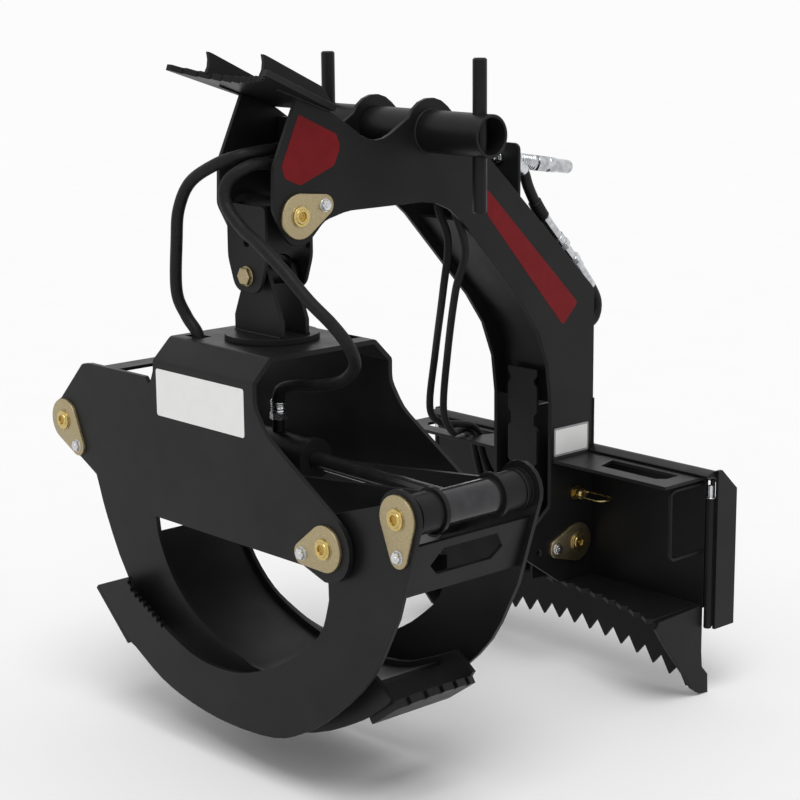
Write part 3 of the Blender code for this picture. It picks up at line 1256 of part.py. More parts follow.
def tie_link():
    along = P4 - P3
    heading = math.atan2(along.y, along.x)
    quarter = math.pi / 2
    lean = math.acos(TIE_WAIST / TIE_EYE_R)
    far = arc(P4, TIE_EYE_R, heading - quarter - lean, heading + quarter + lean)
    near = arc(P3, TIE_EYE_R, heading + quarter - lean, heading - quarter + lean + math.tau)
    outline = far + near
    loops = [outline, circle(P3, PIN_R + FIT)]
    for name, side in (("tie_link_front", -1), ("tie_link_rear", 1)):
        plate(name, loops, "Y", *y_faces(side, TIE_HALF_DEPTH - PLATE, TIE_HALF_DEPTH), body=tie_body)
    reach = rod_boss_reach()
    loops = [circle(P4, TIE_TUBE_R), circle(P4, PIN_R + FIT)]
    plate("link_eye_tube", loops, "Y", HEAD_Y - reach, HEAD_Y + reach, body=tie_body)


def cylinder():
    along = (P3 - P1).normalized()
    direction = Vector((along.x, 0, along.y))
    origin = Vector((P1.x, HEAD_Y, P1.y))
    bore, rod_bore = CYLINDER_BORE_R, ROD_R + FIT
    neck, end = CYLINDER_LENGTH - GLAND_LENGTH, CYLINDER_LENGTH
    profile = [
        (0, CYLINDER_FLOOR), (bore, CYLINDER_FLOOR), (bore, neck), (rod_bore, neck), (rod_bore, end),
        (GLAND_R, end), (GLAND_R, neck), (CYLINDER_R, neck), (CYLINDER_R, CYLINDER_START),
        (0, CYLINDER_START),
    ]
    barrel = turned("cylinder_barrel", profile, origin, direction, body=cylinder_body)
    reach = LEFT_TONG_HALF_DEPTH - PLATE - GAP
    tools = [y_bar("base_tube", P1, HEAD_Y - reach, HEAD_Y + reach, BASE_TUBE_R)]
    wall = (CYLINDER_BORE_R + CYLINDER_R) / 2
    for x in (BASE_PORT_X, GLAND_PORT_X):
        axis_z = P1.y + (x - P1.x) * along.y / along.x
        top = axis_z + CYLINDER_R + PORT_HEIGHT
        tools.append(bar("port", (x, HEAD_Y, axis_z + wall), (x, HEAD_Y, top), PORT_R, SMALL_SIDES))
    fuse(barrel, *tools)
    cut(barrel, y_bar("base_bore", P1, HEAD_Y - HEAD_HALF_DEPTH, HEAD_Y + HEAD_HALF_DEPTH, PIN_R + FIT))
    span = (P3 - P1).length
    piston = CYLINDER_BORE_R - FIT
    profile = [(0, span), (ROD_R, span), (ROD_R, PISTON_START + PISTON_LENGTH),
               (piston, PISTON_START + PISTON_LENGTH), (piston, PISTON_START), (0, PISTON_START)]
    rod = turned("cylinder_rod", profile, origin, direction, material=CHROME, body=rod_body)
    reach = rod_boss_reach()
    fuse(rod, y_bar("rod_boss", P3, HEAD_Y - reach, HEAD_Y + reach, ROD_BOSS_R))


def hoses():
    for name, route, radius, material in (
        ("hose_a", HOSE_A, HOSE_R, RUBBER),
        ("hose_b", HOSE_B, HOSE_R, RUBBER),
        ("hose_c", HOSE_C, SLIM_HOSE_R, BRAID),
        ("hose_d", HOSE_D, SLIM_HOSE_R, BRAID),
        ("hose_e", HOSE_E, HOSE_R, RUBBER),
    ):
        wire(name, smooth(route, HOSE_STEPS), radius, material=material, body=frame_body)


mast_plate("mast_plate_left", -1)
mast_plate("mast_plate_right", 1)
arch_web()
rear_web()
nose_bulkhead()
inner_post()
cross_tube()
pusher()
nose_pin()
coupler_block()
mount_plate()
mount_lip()
mount_side("mount_side_left", -1)
mount_side("mount_side_right", 1)
shelf("shelf_left", -1)
shelf("shelf_right", 1)
lower_tooth_shelf()
lower_tooth_plate()
end_gusset("end_gusset_left", -1)
end_gusset("end_gusset_right", 1)
grab_handle()
foot_pin()
lock_pin()
link()
yoke()
head_shell()
wing_web()
head_pins()
right_tong()
lever_pins()
left_tong()
tie_link()
cylinder()
hoses()
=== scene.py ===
"""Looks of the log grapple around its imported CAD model. Metres, in the model's own frame."""

import json
import math

import bmesh
import bpy
from mathutils import Matrix, Vector, noise
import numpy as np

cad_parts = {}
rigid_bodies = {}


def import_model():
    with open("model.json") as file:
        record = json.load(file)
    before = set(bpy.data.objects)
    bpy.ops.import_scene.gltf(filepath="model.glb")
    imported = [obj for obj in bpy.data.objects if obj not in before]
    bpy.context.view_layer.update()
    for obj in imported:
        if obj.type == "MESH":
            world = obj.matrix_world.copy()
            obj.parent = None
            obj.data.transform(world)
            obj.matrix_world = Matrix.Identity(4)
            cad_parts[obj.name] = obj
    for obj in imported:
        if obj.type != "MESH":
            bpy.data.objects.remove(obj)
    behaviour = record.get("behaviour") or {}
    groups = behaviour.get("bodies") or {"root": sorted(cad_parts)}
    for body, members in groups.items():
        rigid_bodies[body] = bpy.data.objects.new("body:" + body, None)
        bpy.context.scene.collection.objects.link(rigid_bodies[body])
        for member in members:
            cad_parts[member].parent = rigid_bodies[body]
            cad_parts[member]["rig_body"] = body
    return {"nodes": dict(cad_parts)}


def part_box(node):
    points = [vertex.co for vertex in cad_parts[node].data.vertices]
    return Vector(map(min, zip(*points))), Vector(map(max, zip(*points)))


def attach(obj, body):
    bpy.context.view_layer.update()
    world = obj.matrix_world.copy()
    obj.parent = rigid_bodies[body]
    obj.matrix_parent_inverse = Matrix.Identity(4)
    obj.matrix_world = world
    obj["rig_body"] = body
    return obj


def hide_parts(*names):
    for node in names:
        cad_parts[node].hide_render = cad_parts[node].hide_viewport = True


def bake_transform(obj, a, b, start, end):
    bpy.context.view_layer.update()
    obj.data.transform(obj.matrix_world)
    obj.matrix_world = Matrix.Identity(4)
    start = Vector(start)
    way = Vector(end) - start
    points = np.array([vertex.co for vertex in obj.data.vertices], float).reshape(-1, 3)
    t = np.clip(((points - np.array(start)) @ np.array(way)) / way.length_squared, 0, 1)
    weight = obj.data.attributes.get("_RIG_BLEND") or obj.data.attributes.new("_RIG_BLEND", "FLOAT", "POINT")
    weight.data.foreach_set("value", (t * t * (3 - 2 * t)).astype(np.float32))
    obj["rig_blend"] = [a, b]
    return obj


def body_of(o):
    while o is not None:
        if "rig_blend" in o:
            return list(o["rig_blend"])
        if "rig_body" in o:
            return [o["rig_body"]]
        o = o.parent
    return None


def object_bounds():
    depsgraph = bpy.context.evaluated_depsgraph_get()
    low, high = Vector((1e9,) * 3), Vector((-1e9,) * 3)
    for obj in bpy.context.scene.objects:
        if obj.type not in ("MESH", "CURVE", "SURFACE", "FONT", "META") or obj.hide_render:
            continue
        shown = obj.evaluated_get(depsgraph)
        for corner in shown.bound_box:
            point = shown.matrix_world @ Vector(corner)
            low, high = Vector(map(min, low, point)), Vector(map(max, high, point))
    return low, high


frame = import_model()
CAD_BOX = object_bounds()
NODES = frame["nodes"]
SCENE = bpy.context.scene
X, Y, Z = Vector((1, 0, 0)), Vector((0, 1, 0)), Vector((0, 0, 1))
SIDES = ((-1, "left"), (1, "right"))


# Places and sizes that part.py also has

HEAD_Y = -1.1275                        # plane that the tongs swing in
HEAD_HALF_DEPTH, TONG_HALF_DEPTH = 0.2326, 0.206
HEAD_FACE_Y = HEAD_Y - HEAD_HALF_DEPTH
LEFT_PIN = Vector((-0.635, HEAD_Y, 0.409))
RIGHT_PIN = Vector((0.480, HEAD_Y, 0.272))
LEVER_PIN = Vector((0.712, HEAD_Y, 0.388))
NOSE_Z, CROSS_Z, DISC_TOP = 1.021, 0.864, 0.710
MAST_X = 0.1175                         # outer face of each mast plate
TUBE = Vector((0, -0.666, 1.206))
TUBE_R, TUBE_WALL, TUBE_HALF_LENGTH = 0.0571, 0.0086, 0.348
STAKE_R = 0.019
KEEPER_GAP, KEEPER_T = 0.0003, 0.008
KEEPER_TOP = KEEPER_GAP + KEEPER_T
KEEPER_R, KEEPER_TIP_R = 0.058, 0.028
PIN_PROUD = 0.006                       # pin end above its keeper


# Camera, fitted to the photograph

EYE = Vector((4.04373, -4.35341, 1.66254))
AHEAD = Vector((-0.72276, 0.65668, -0.21538)).normalized()
ROLL = math.radians(-0.5)
LENS_MM, SENSOR_MM = 90.6, 36
FAR_CLIP = 400


def camera():
    level = AHEAD.cross(Z).normalized()
    plumb = level.cross(AHEAD)
    right = level * math.cos(ROLL) + plumb * math.sin(ROLL)
    up = plumb * math.cos(ROLL) - level * math.sin(ROLL)
    data = bpy.data.cameras.new("camera")
    data.sensor_width = SENSOR_MM
    data.lens = LENS_MM
    data.clip_end = FAR_CLIP
    cam = bpy.data.objects.new("camera", data)
    SCENE.collection.objects.link(cam)
    cam.matrix_world = Matrix.Translation(EYE) @ Matrix((right, up, -AHEAD)).transposed().to_4x4()
    SCENE.camera = cam


camera()


# Materials

class Graph:
    """A Principled material whose colour, roughness and bump come from patterns in object space."""

    def __init__(self, name):
        self.material = bpy.data.materials.new(name)
        self.material.use_nodes = True
        self.tree = self.material.node_tree
        self.shader = self.tree.nodes["Principled BSDF"]
        self.coords = self.tree.nodes.new("ShaderNodeTexCoord").outputs["Object"]

    def noise(self, scale, detail=3.0, stretch=None):
        source = self.coords
        if stretch:
            mapping = self.tree.nodes.new("ShaderNodeMapping")
            mapping.inputs["Scale"].default_value = stretch
            self.tree.links.new(source, mapping.inputs["Vector"])
            source = mapping.outputs["Vector"]
        node = self.tree.nodes.new("ShaderNodeTexNoise")
        node.inputs["Scale"].default_value = scale
        node.inputs["Detail"].default_value = detail
        self.tree.links.new(source, node.inputs["Vector"])
        return node.outputs["Fac"]

    def diagonal_bands(self, scale, distortion):
        node = self.tree.nodes.new("ShaderNodeTexWave")
        node.wave_type = "BANDS"
        node.bands_direction = "DIAGONAL"
        node.inputs["Scale"].default_value = scale
        node.inputs["Distortion"].default_value = distortion
        self.tree.links.new(self.coords, node.inputs["Vector"])
        return node.outputs["Fac"]

    def colours(self, factor, stops):
        node = self.tree.nodes.new("ShaderNodeValToRGB")
        ramp = node.color_ramp
        while len(ramp.elements) < len(stops):
            ramp.elements.new(0.5)
        for element, (place, colour) in zip(ramp.elements, stops):
            element.position = place
            element.color = (*colour, 1)
        self.tree.links.new(factor, node.inputs["Fac"])
        self.tree.links.new(node.outputs["Color"], self.shader.inputs["Base Color"])

    def rough(self, factor, low, high):
        """Roughness from low to high over the middle of the noise, where most of its values lie."""
        node = self.tree.nodes.new("ShaderNodeMapRange")
        for key, value in (("From Min", 0.3), ("From Max", 0.7), ("To Min", low), ("To Max", high)):
            node.inputs[key].default_value = value
        self.tree.links.new(factor, node.inputs["Value"])
        self.tree.links.new(node.outputs["Result"], self.shader.inputs["Roughness"])

    def bump(self, factor, strength, distance):
        node = self.tree.nodes.new("ShaderNodeBump")
        node.inputs["Strength"].default_value = strength
        node.inputs["Distance"].default_value = distance
        self.tree.links.new(factor, node.inputs["Height"])
        self.tree.links.new(node.outputs["Normal"], self.shader.inputs["Normal"])

    def set(self, **values):
        for key, value in values.items():
            self.shader.inputs[key.replace("_", " ")].default_value = value
        return self.material


def finish(name, stops, colour_noise, rough_noise, rough_range, bump_noise, bump_size, **values):
    """A finish from three noises, each as (scale, detail, stretch) or less; bump_size is (strength, distance)."""
    g = Graph(name)
    g.colours(g.noise(*colour_noise), stops)
    g.rough(g.noise(*rough_noise), *rough_range)
    g.bump(g.noise(*bump_noise), *bump_size)
    return g.set(**values)


def black_coat(name, lift):
    stops = [(0.35, (0.0070 * lift, 0.0070 * lift, 0.0072 * lift)),
             (0.65, (0.0100 * lift, 0.0100 * lift, 0.0103 * lift))]
    return finish(name, stops, (7,), (16, 5), (0.36, 0.44), (650, 2), (0.12, 0.0004), Specular_IOR_Level=0.15)


def zinc(name, stops, rough_range, grain=60):
    return finish(name, stops, (grain, 3), (90, 3), rough_range, (420, 2), (0.08, 0.0003), Metallic=1.0)


def film(name, stops, rough_range):
    return finish(name, stops, (30, 3), (60, 3), rough_range, (500, 2), (0.05, 0.0002), Specular_IOR_Level=0.12)


def braid():
    g = Graph("hose_braid")
    strands = g.diagonal_bands(160, 1.5)
    g.colours(strands, [(0.2, (0.006, 0.006, 0.006)), (0.8, (0.020, 0.020, 0.019))])
    g.rough(g.noise(200, 2), 0.55, 0.72)
    g.bump(strands, 0.35, 0.0006)
    return g.set(Specular_IOR_Level=0.18)


BLACK = black_coat("satin_black_coat", 1.0)
# The weld beads get the black coat lightened by a quarter: a painted highlight that makes them stand out from the
# plates.
WELD = black_coat("weld_coat", 1.25)
GOLD = zinc("yellow_zinc", [(0.30, (0.33, 0.265, 0.150)), (0.5, (0.38, 0.315, 0.185)), (0.72, (0.43, 0.365, 0.225))],
            (0.34, 0.46), 190)
BRASS = zinc("gold_zinc", [(0.30, (0.50, 0.37, 0.13)), (0.7, (0.62, 0.48, 0.20))], (0.22, 0.34), 90)
DEEP_GOLD = zinc("deep_gold_zinc", [(0.30, (0.34, 0.21, 0.045)), (0.7, (0.46, 0.30, 0.08))], (0.24, 0.36), 90)
SILVER = zinc("bright_zinc", [(0.30, (0.50, 0.51, 0.53)), (0.7, (0.68, 0.69, 0.71))], (0.20, 0.32))
CHROME = finish("bright_chrome", [(0.35, (0.36, 0.37, 0.39)), (0.65, (0.58, 0.59, 0.60))],
                (60, 3), (140, 3), (0.07, 0.15), (500, 2), (0.03, 0.0002), Metallic=1.0)
ROD = finish("rod_chrome", [(0.3, (0.030, 0.030, 0.032)), (0.7, (0.042, 0.042, 0.045))],
             (30, 2), (60, 3, (1, 12, 12)), (0.16, 0.24), (300, 2, (1, 20, 20)), (0.04, 0.0002),
             Metallic=0.6, Specular_IOR_Level=0.5)
RUBBER = finish("hose_rubber", [(0.3, (0.006, 0.006, 0.006)), (0.7, (0.011, 0.011, 0.011))],
                (120, 3), (60, 3), (0.44, 0.58), (900, 2), (0.18, 0.0004), Specular_IOR_Level=0.16)
BRAID = braid()
RED = film("dark_red_film", [(0.35, (0.142, 0.003, 0.005)), (0.65, (0.160, 0.005, 0.008))], (0.34, 0.44))
PALE = film("pale_film", [(0.35, (0.785, 0.785, 0.775)), (0.65, (0.805, 0.805, 0.795))], (0.36, 0.46))
GREY = film("grey_film", [(0.35, (0.30, 0.30, 0.31)), (0.65, (0.34, 0.34, 0.35))], (0.36, 0.46))


# CAD nodes

NODE_FINISHES = {"nose_pin": GOLD, "foot_pin": GOLD, "left_tong_pin": GOLD, "right_tong_pin": GOLD,
                 "lever_pin_front": GOLD, "lever_pin_rear": GOLD, "lock_pin": BRASS, "lock_ring": BRASS,
                 "swivel_retainer": SILVER, "cylinder_rod": ROD}
FINE_NODES = ("lock_ring", "lock_pin")
EDGE_RADIUS, FINE_EDGE_RADIUS = 0.0014, 0.0004
EDGE_ANGLE = math.radians(32)           # sharper than this is an edge to round
FLAT_ANGLE = math.radians(0.6)          # facets closer than this are one face
SAME_POINT = 0.00002


def smoothing():
    """A modifier's node tree that drops stored normals and shades smooth, so that a CAD mesh itself stays as it is."""
    tree = bpy.data.node_groups.new("smoothing", "GeometryNodeTree")
    tree.is_modifier = True
    for way in ("INPUT", "OUTPUT"):
        tree.interface.new_socket("Geometry", in_out=way, socket_type="NodeSocketGeometry")
    kinds = ("NodeGroupInput", "GeometryNodeRemoveAttribute", "GeometryNodeSetShadeSmooth", "NodeGroupOutput")
    entry, drop, shade, out = (tree.nodes.new(kind) for kind in kinds)
    drop.inputs["Name"].default_value = "custom_normal"
    tree.links.new(entry.outputs[0], drop.inputs["Geometry"])
    tree.links.new(drop.outputs[0], shade.inputs["Geometry"])
    tree.links.new(shade.outputs[0], out.inputs[0])
    return tree


def dress_nodes():
    """Every CAD node gets its finish, merged corners and a small edge radius."""
    smooth_tree = smoothing()
    for name, node in NODES.items():
        node.data.materials.clear()
        node.data.materials.append(NODE_FINISHES.get(name, BLACK))
        node.modifiers.new("smooth", "NODES").node_group = smooth_tree
        weld = node.modifiers.new("weld", "WELD")
        weld.merge_threshold = SAME_POINT
        flat = node.modifiers.new("flat", "DECIMATE")
        flat.decimate_type = "DISSOLVE"
        flat.angle_limit = FLAT_ANGLE
        edge = node.modifiers.new("edge", "BEVEL")
        edge.width = FINE_EDGE_RADIUS if name in FINE_NODES else EDGE_RADIUS
        edge.segments = 2
        edge.limit_method = "ANGLE"
        edge.angle_limit = EDGE_ANGLE
        edge.harden_normals = True


dress_nodes()


# Building pieces

def piece(name, mesh, material, body, smooth_angle=35, replaces=()):
    """An object that rides on body, or on none yet where body is None."""
    mesh.materials.append(material)
    mesh.shade_smooth()
    mesh.set_sharp_from_angle(angle=math.radians(smooth_angle))
    obj = bpy.data.objects.new(name, mesh)
    SCENE.collection.objects.link(obj)
    if body:
        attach(obj, body)
    if replaces:
        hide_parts(*replaces)
    return obj


def from_bmesh(work, name):
    bmesh.ops.recalc_face_normals(work, faces=work.faces)
    mesh = bpy.data.meshes.new(name)
    work.to_mesh(mesh)
    work.free()
    return mesh


def frame_along(origin, direction):
    turn = Vector(direction).normalized().to_track_quat("Z", "Y").to_matrix().to_4x4()
    return Matrix.Translation(origin) @ turn


def circle(radius, height, sides):
    """Points round the Z axis."""
    return [Vector((radius * math.cos(math.tau * i / sides), radius * math.sin(math.tau * i / sides), height))
            for i in range(sides)]


def join_loops(work, loops):
    """Faces from each closed loop of vertices to the next; a loop of one vertex closes to a point."""
    for a, b in zip(loops, loops[1:]):
        for i in range(max(len(a), len(b))):
            j = i + 1
            corners = (a[i % len(a)], a[j % len(a)], b[j % len(b)], b[i % len(b)])
            unique = list(dict.fromkeys(corners))
            if len(unique) > 2:
                work.faces.new(unique)


def chamfered(profile, cut):
    """The profile with its inner corners cut back."""
    points = [Vector(profile[0])]
    for before, here, after in zip(profile, profile[1:], profile[2:]):
        before, here, after = Vector(before), Vector(here), Vector(after)
        back, ahead = before - here, after - here
        size = min(cut, back.length * 0.45, ahead.length * 0.45)
        points.append(here + back.normalized() * size)
        points.append(here + ahead.normalized() * size)
    points.append(Vector(profile[-1]))
    return points


def lathe_into(work, profile, matrix, sides):
    """Revolves (radius, height) points about the matrix's Z axis; a zero radius closes on the axis."""
    loops = []
    for radius, height in profile:
        points = [Vector((0, 0, height))] if radius < 1e-7 else circle(radius, height, sides)
        loops.append([work.verts.new(matrix @ point) for point in points])
    join_loops(work, loops)


def lathe(name, profile, origin, direction, material, body, cut, sides, replaces=(), ring=False):
    """A turned piece with its corners cut back. A ring's profile is a closed one."""
    work = bmesh.new()
    points = chamfered(profile, cut)
    if ring:
        points = chamfered([profile[-1]] + list(profile) + [profile[0]], cut)[1:-1]
        points = points + [points[0]]
    lathe_into(work, points, frame_along(origin, direction), sides)
    bmesh.ops.remove_doubles(work, verts=work.verts, dist=1e-6)
    piece(name, from_bmesh(work, name), material, body, replaces=replaces)


def hex_into(work, matrix, across, low, high, chamfer):
    """A hexagon head between two heights, with its top corners turned off."""
    radius = across / math.sqrt(3)
    outline = ((radius, low), (radius, high - chamfer), (radius - chamfer * 1.4, high))
    loops = [[work.verts.new(matrix @ point) for point in circle(r, h, 6)] for r, h in outline]
    join_loops(work, loops)
    work.faces.new(loops[0][::-1])
    work.faces.new(loops[-1])


def bolt(name, seat, direction, across, height, body):
    """A washer, a hexagon head and the small boss on it, standing on a seat."""
    matrix = frame_along(seat, direction)
    work = bmesh.new()
    washer, boss = height * 0.2, height * 0.12
    rim = across * 0.64
    lathe_into(work, [(0, 0), (rim, 0), (rim, washer * 0.7), (rim - washer * 0.3, washer), (0, washer)], matrix, 32)
    hex_into(work, matrix, across, washer, height, height * 0.14)
    lathe_into(work, [(0, height), (across * 0.22, height), (across * 0.20, height + boss), (0, height + boss)],
               matrix, 24)
    piece(name, from_bmesh(work, name), SILVER, body, smooth_angle=30)


def untwisted(tangents):
    """A frame for each tangent, each turned no more than it has to be from the one before."""
    side = tangents[0].orthogonal().normalized()
    frames = []
    for t in tangents:
        side = (side - t * side.dot(t)).normalized()
        frames.append((t, side, t.cross(side)))
    return frames


def frames_on(path):
    last = len(path) - 1
    return untwisted([(path[min(i + 1, last)] - path[max(i - 1, 0)]).normalized() for i in range(last + 1)])


def tube_mesh(name, path, frames, radii, sides=20, caps=(True, True)):
    work = bmesh.new()
    turns = [math.tau * i / sides for i in range(sides)]
    loops = [[work.verts.new(here + (u * math.cos(turn) + v * math.sin(turn)) * radius) for turn in turns]
             for here, (_, u, v), radius in zip(path, frames, radii)]
    join_loops(work, loops)
    if caps[0]:
        work.faces.new(loops[0][::-1])
    if caps[1]:
        work.faces.new(loops[-1])
    return from_bmesh(work, name)


def curve_through(points, per_span):
    """A Catmull-Rom curve, as part.py draws the hoses' routes."""
    knots = [Vector(p) for p in points]
    knots = [knots[0] * 2 - knots[1]] + knots + [knots[-1] * 2 - knots[-2]]
    path = []
    for a, b, c, d in zip(knots, knots[1:], knots[2:], knots[3:]):
        for i in range(per_span):
            t = i / per_span
            path.append((b * 2 + (c - a) * t + (a * 2 - b * 5 + c * 4 - d) * t ** 2
                         + (b * 3 - a - c * 3 + d) * t ** 3) / 2)
    path.append(knots[-2])
    return path


def length_of(path):
    return sum((b - a).length for a, b in zip(path, path[1:]))


# Hydraulic hoses, on the CAD routes

HOSE_R, SLIM_R = 0.016, 0.011
HOSE_A = ((0.045, -1.0102, 1.190), (0.045, -1.028, 1.190), (0.045, -1.060, 1.190), (0.041, -1.180, 1.184),
          (0.027, -1.240, 1.176), (-0.036, -1.270, 1.152), (-0.124, -1.285, 1.102), (-0.170, -1.290, 1.030),
          (-0.184, -1.290, 0.948), (-0.205, -1.280, 0.812), (-0.190, -1.262, 0.745), (-0.155, -1.2530, 0.700),
          (-0.158, -1.245, 0.650), (-0.220, -1.205, 0.588), (-0.320, -1.155, 0.568), (-0.398, -1.130, 0.572),
          (-0.420, -1.1275, 0.538), (-0.420, -1.1275, 0.510), (-0.420, -1.1275, 0.4862))
HOSE_B = ((0.062, -1.0102, 1.130), (0.062, -1.028, 1.130), (0.062, -1.060, 1.130), (0.067, -1.190, 1.156),
          (0.058, -1.252, 1.147), (0.027, -1.284, 1.110), (0.033, -1.290, 1.056), (0.092, -1.288, 1.003),
          (0.158, -1.285, 0.967), (0.234, -1.275, 0.912), (0.304, -1.255, 0.843), (0.358, -1.225, 0.785),
          (0.384, -1.195, 0.730), (0.364, -1.160, 0.674), (0.290, -1.135, 0.624), (0.187, -1.1275, 0.594),
          (0.100, -1.1275, 0.580), (0.036, -1.1275, 0.562), (0.018, -1.1275, 0.530), (0.018, -1.1275, 0.502),
          (0.018, -1.1275, 0.4794))
HOSE_C = ((-0.026, -0.3300, 1.1051), (-0.026, -0.3400, 1.1067), (-0.026, -0.3595, 1.1098), (-0.015, -0.450, 1.092),
          (0.005, -0.520, 1.045), (0.015, -0.545, 0.985), (0.023, -0.515, 0.889), (-0.048, -0.467, 0.734),
          (-0.218, -0.338, 0.517), (-0.288, -0.296, 0.332), (-0.276, -0.262, 0.280), (-0.270, -0.200, 0.266),
          (-0.272, -0.140, 0.252), (-0.275, -0.104, 0.222), (-0.276, -0.094, 0.185), (-0.274, -0.078, 0.135),
          (-0.271, -0.056, 0.092), (-0.270, -0.038, 0.086), (-0.270, -0.024, 0.086), (-0.270, -0.0131, 0.086))
HOSE_D = ((0.026, -0.3300, 1.1051), (0.026, -0.3400, 1.1067), (0.026, -0.3595, 1.1098), (0.045, -0.450, 1.092),
          (0.070, -0.520, 1.045), (0.085, -0.548, 0.985), (0.092, -0.515, 0.868), (0.004, -0.468, 0.740),
          (-0.160, -0.343, 0.525), (-0.224, -0.300, 0.336), (-0.236, -0.255, 0.258), (-0.285, -0.185, 0.2375),
          (-0.303, -0.130, 0.2365), (-0.305, -0.102, 0.216), (-0.305, -0.092, 0.180), (-0.305, -0.078, 0.120),
          (-0.305, -0.056, 0.062), (-0.305, -0.038, 0.056), (-0.305, -0.024, 0.056), (-0.305, -0.0131, 0.056))
HOSE_E = ((0.070, -0.3101, 1.080), (0.070, -0.302, 1.080), (0.070, -0.288, 1.080), (0.069, -0.262, 1.062),
          (0.068, -0.240, 1.015), (0.064, -0.190, 0.945), (0.060, -0.100, 0.850), (0.060, 0.000, 0.742),
          (0.060, 0.056, 0.665), (0.060, 0.052, 0.610), (0.060, 0.010, 0.588), (0.060, -0.050, 0.585),
          (0.060, -0.1021, 0.5708), (0.060, -0.1346, 0.5580), (0.060, -0.1668, 0.5453))
STEPS = 8                               # points of the path in each span of a route

# Hoses A and B cross four joints, in a piece for each. A piece ends at a knot of the route, and changes over from one
# body to the next between two shares of its length.
CHAIN = (("frame", "link"), ("link", "yoke"), ("yoke", "head"), ("head", "cylinder"))
KNOTS_A, KNOTS_B = (7, 9, 13, 18), (7, 10, 14, 20)
CHANGE_A = ((0.40, 0.97), (0.08, 0.92), (0.02, 0.52), (0.14, 0.86))
CHANGE_B = ((0.40, 0.97), (0.08, 0.92), (0.00, 1.00), (0.30, 1.00))


def hose(name, route, radius, material, cuts=()):
    """Draws a hose as one run on the frame, or in pieces by cuts of (end knot, two bodies, two shares)."""
    path = curve_through(route, STEPS)
    frames = frames_on(path)
    runs = cuts or [(len(route) - 1, None, None)]
    first = 0
    for number, (knot, bodies, change) in enumerate(runs):
        last = knot * STEPS
        part_path, part_frames = path[first:last + 1], frames[first:last + 1]
        title = f"{name}_{number + 1}" if cuts else name + "_run"
        mesh = tube_mesh(title, part_path, part_frames, [radius] * len(part_path),
                         caps=(number == 0, number == len(runs) - 1))
        obj = piece(title, mesh, material, None, smooth_angle=60)
        if bodies:
            start, end = (part_path[int((len(part_path) - 1) * share)] for share in change)
            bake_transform(obj, *bodies, start=start, end=end)
        else:
            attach(obj, "frame")
        if number == 0:
            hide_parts(name)
        first = last
    return path


path_a = hose("hose_a", HOSE_A, HOSE_R, RUBBER, list(zip(KNOTS_A, CHAIN, CHANGE_A)))
path_b = hose("hose_b", HOSE_B, HOSE_R, RUBBER, list(zip(KNOTS_B, CHAIN, CHANGE_B)))
path_c = hose("hose_c", HOSE_C, SLIM_R, BRAID)
path_d = hose("hose_d", HOSE_D, SLIM_R, BRAID)
path_e = hose("hose_e", HOSE_E, HOSE_R, RUBBER)


# Metal ends and sleeves on the hoses

TANGENT_REACH = 0.004                   # how far to each side a fitting looks for its direction
TINY = 1e-5                             # keeps a distance off the very end of a path


def along(path, distance):
    """The point at a distance from the path's start, or from its end where it is negative."""
    if distance < 0:
        distance += length_of(path)
    for a, b in zip(path, path[1:]):
        step = (b - a).length
        if distance <= step:
            return a.lerp(b, distance / step)
        distance -= step
    return path[-1]


def fitting(name, path, stations, material, body, sides=28, smooth_angle=35):
    """A turned piece on a hose: stations lists (distance along the hose, radius)."""
    whole = length_of(path)
    tangents = []
    for distance, _ in stations:
        middle = distance if distance >= 0 else distance + whole
        behind = along(path, max(middle - TANGENT_REACH, 0))
        ahead = along(path, min(middle + TANGENT_REACH, whole - TINY))
        tangents.append((ahead - behind).normalized())
    spine = [along(path, distance) for distance, _ in stations]
    mesh = tube_mesh(name, spine, untwisted(tangents), [radius for _, radius in stations], sides)
    piece(name, mesh, material, body, smooth_angle)


def crimped_end(name, path, radius, body, material, from_end=False):
    """A crimped ferrule with a hexagon nut, at the start or the end of a hose."""
    sign = -1 if from_end else 1
    nut_length, reach = radius * 1.1, radius * 3.1
    lip, outer, wide = radius * 1.02, radius * 1.18, radius * 1.42
    crest, groove = outer * 1.03, outer * 0.965
    rings = 4
    pitch = (reach - nut_length - 0.006) / rings
    stations = [(nut_length, lip), (nut_length, outer), (nut_length + 0.003, crest)]
    for i in range(rings):
        s = nut_length + 0.004 + i * pitch
        stations += [(s, crest), (s + pitch * 0.28, groove), (s + pitch * 0.55, groove), (s + pitch * 0.8, crest)]
    stations += [(reach - 0.001, outer), (reach, lip)]
    fitting(name + "_ferrule", path, [(sign * d, r) for d, r in stations], material, body)
    hexagon = [(TINY, wide * 0.86), (0.0006, wide), (nut_length - 0.0006, wide), (nut_length, wide * 0.86)]
    fitting(name + "_nut", path, [(sign * d, r) for d, r in hexagon], material, body, sides=6,
            smooth_angle=25)


for title, path, radius, last_body, last_finish in (
        ("hose_a", path_a, HOSE_R, "cylinder", BLACK), ("hose_b", path_b, HOSE_R, "cylinder", SILVER),
        ("hose_c", path_c, SLIM_R, "frame", SILVER), ("hose_d", path_d, SLIM_R, "frame", SILVER),
        ("hose_e", path_e, HOSE_R, None, None)):
    crimped_end(title + "_start", path, radius, "frame", SILVER)
    if last_body:
        crimped_end(title + "_end", path, radius, last_body, last_finish, from_end=True)


# The feed line on hose E: a ribbed sleeve, then bright tubes with nuts and knurled rings between them

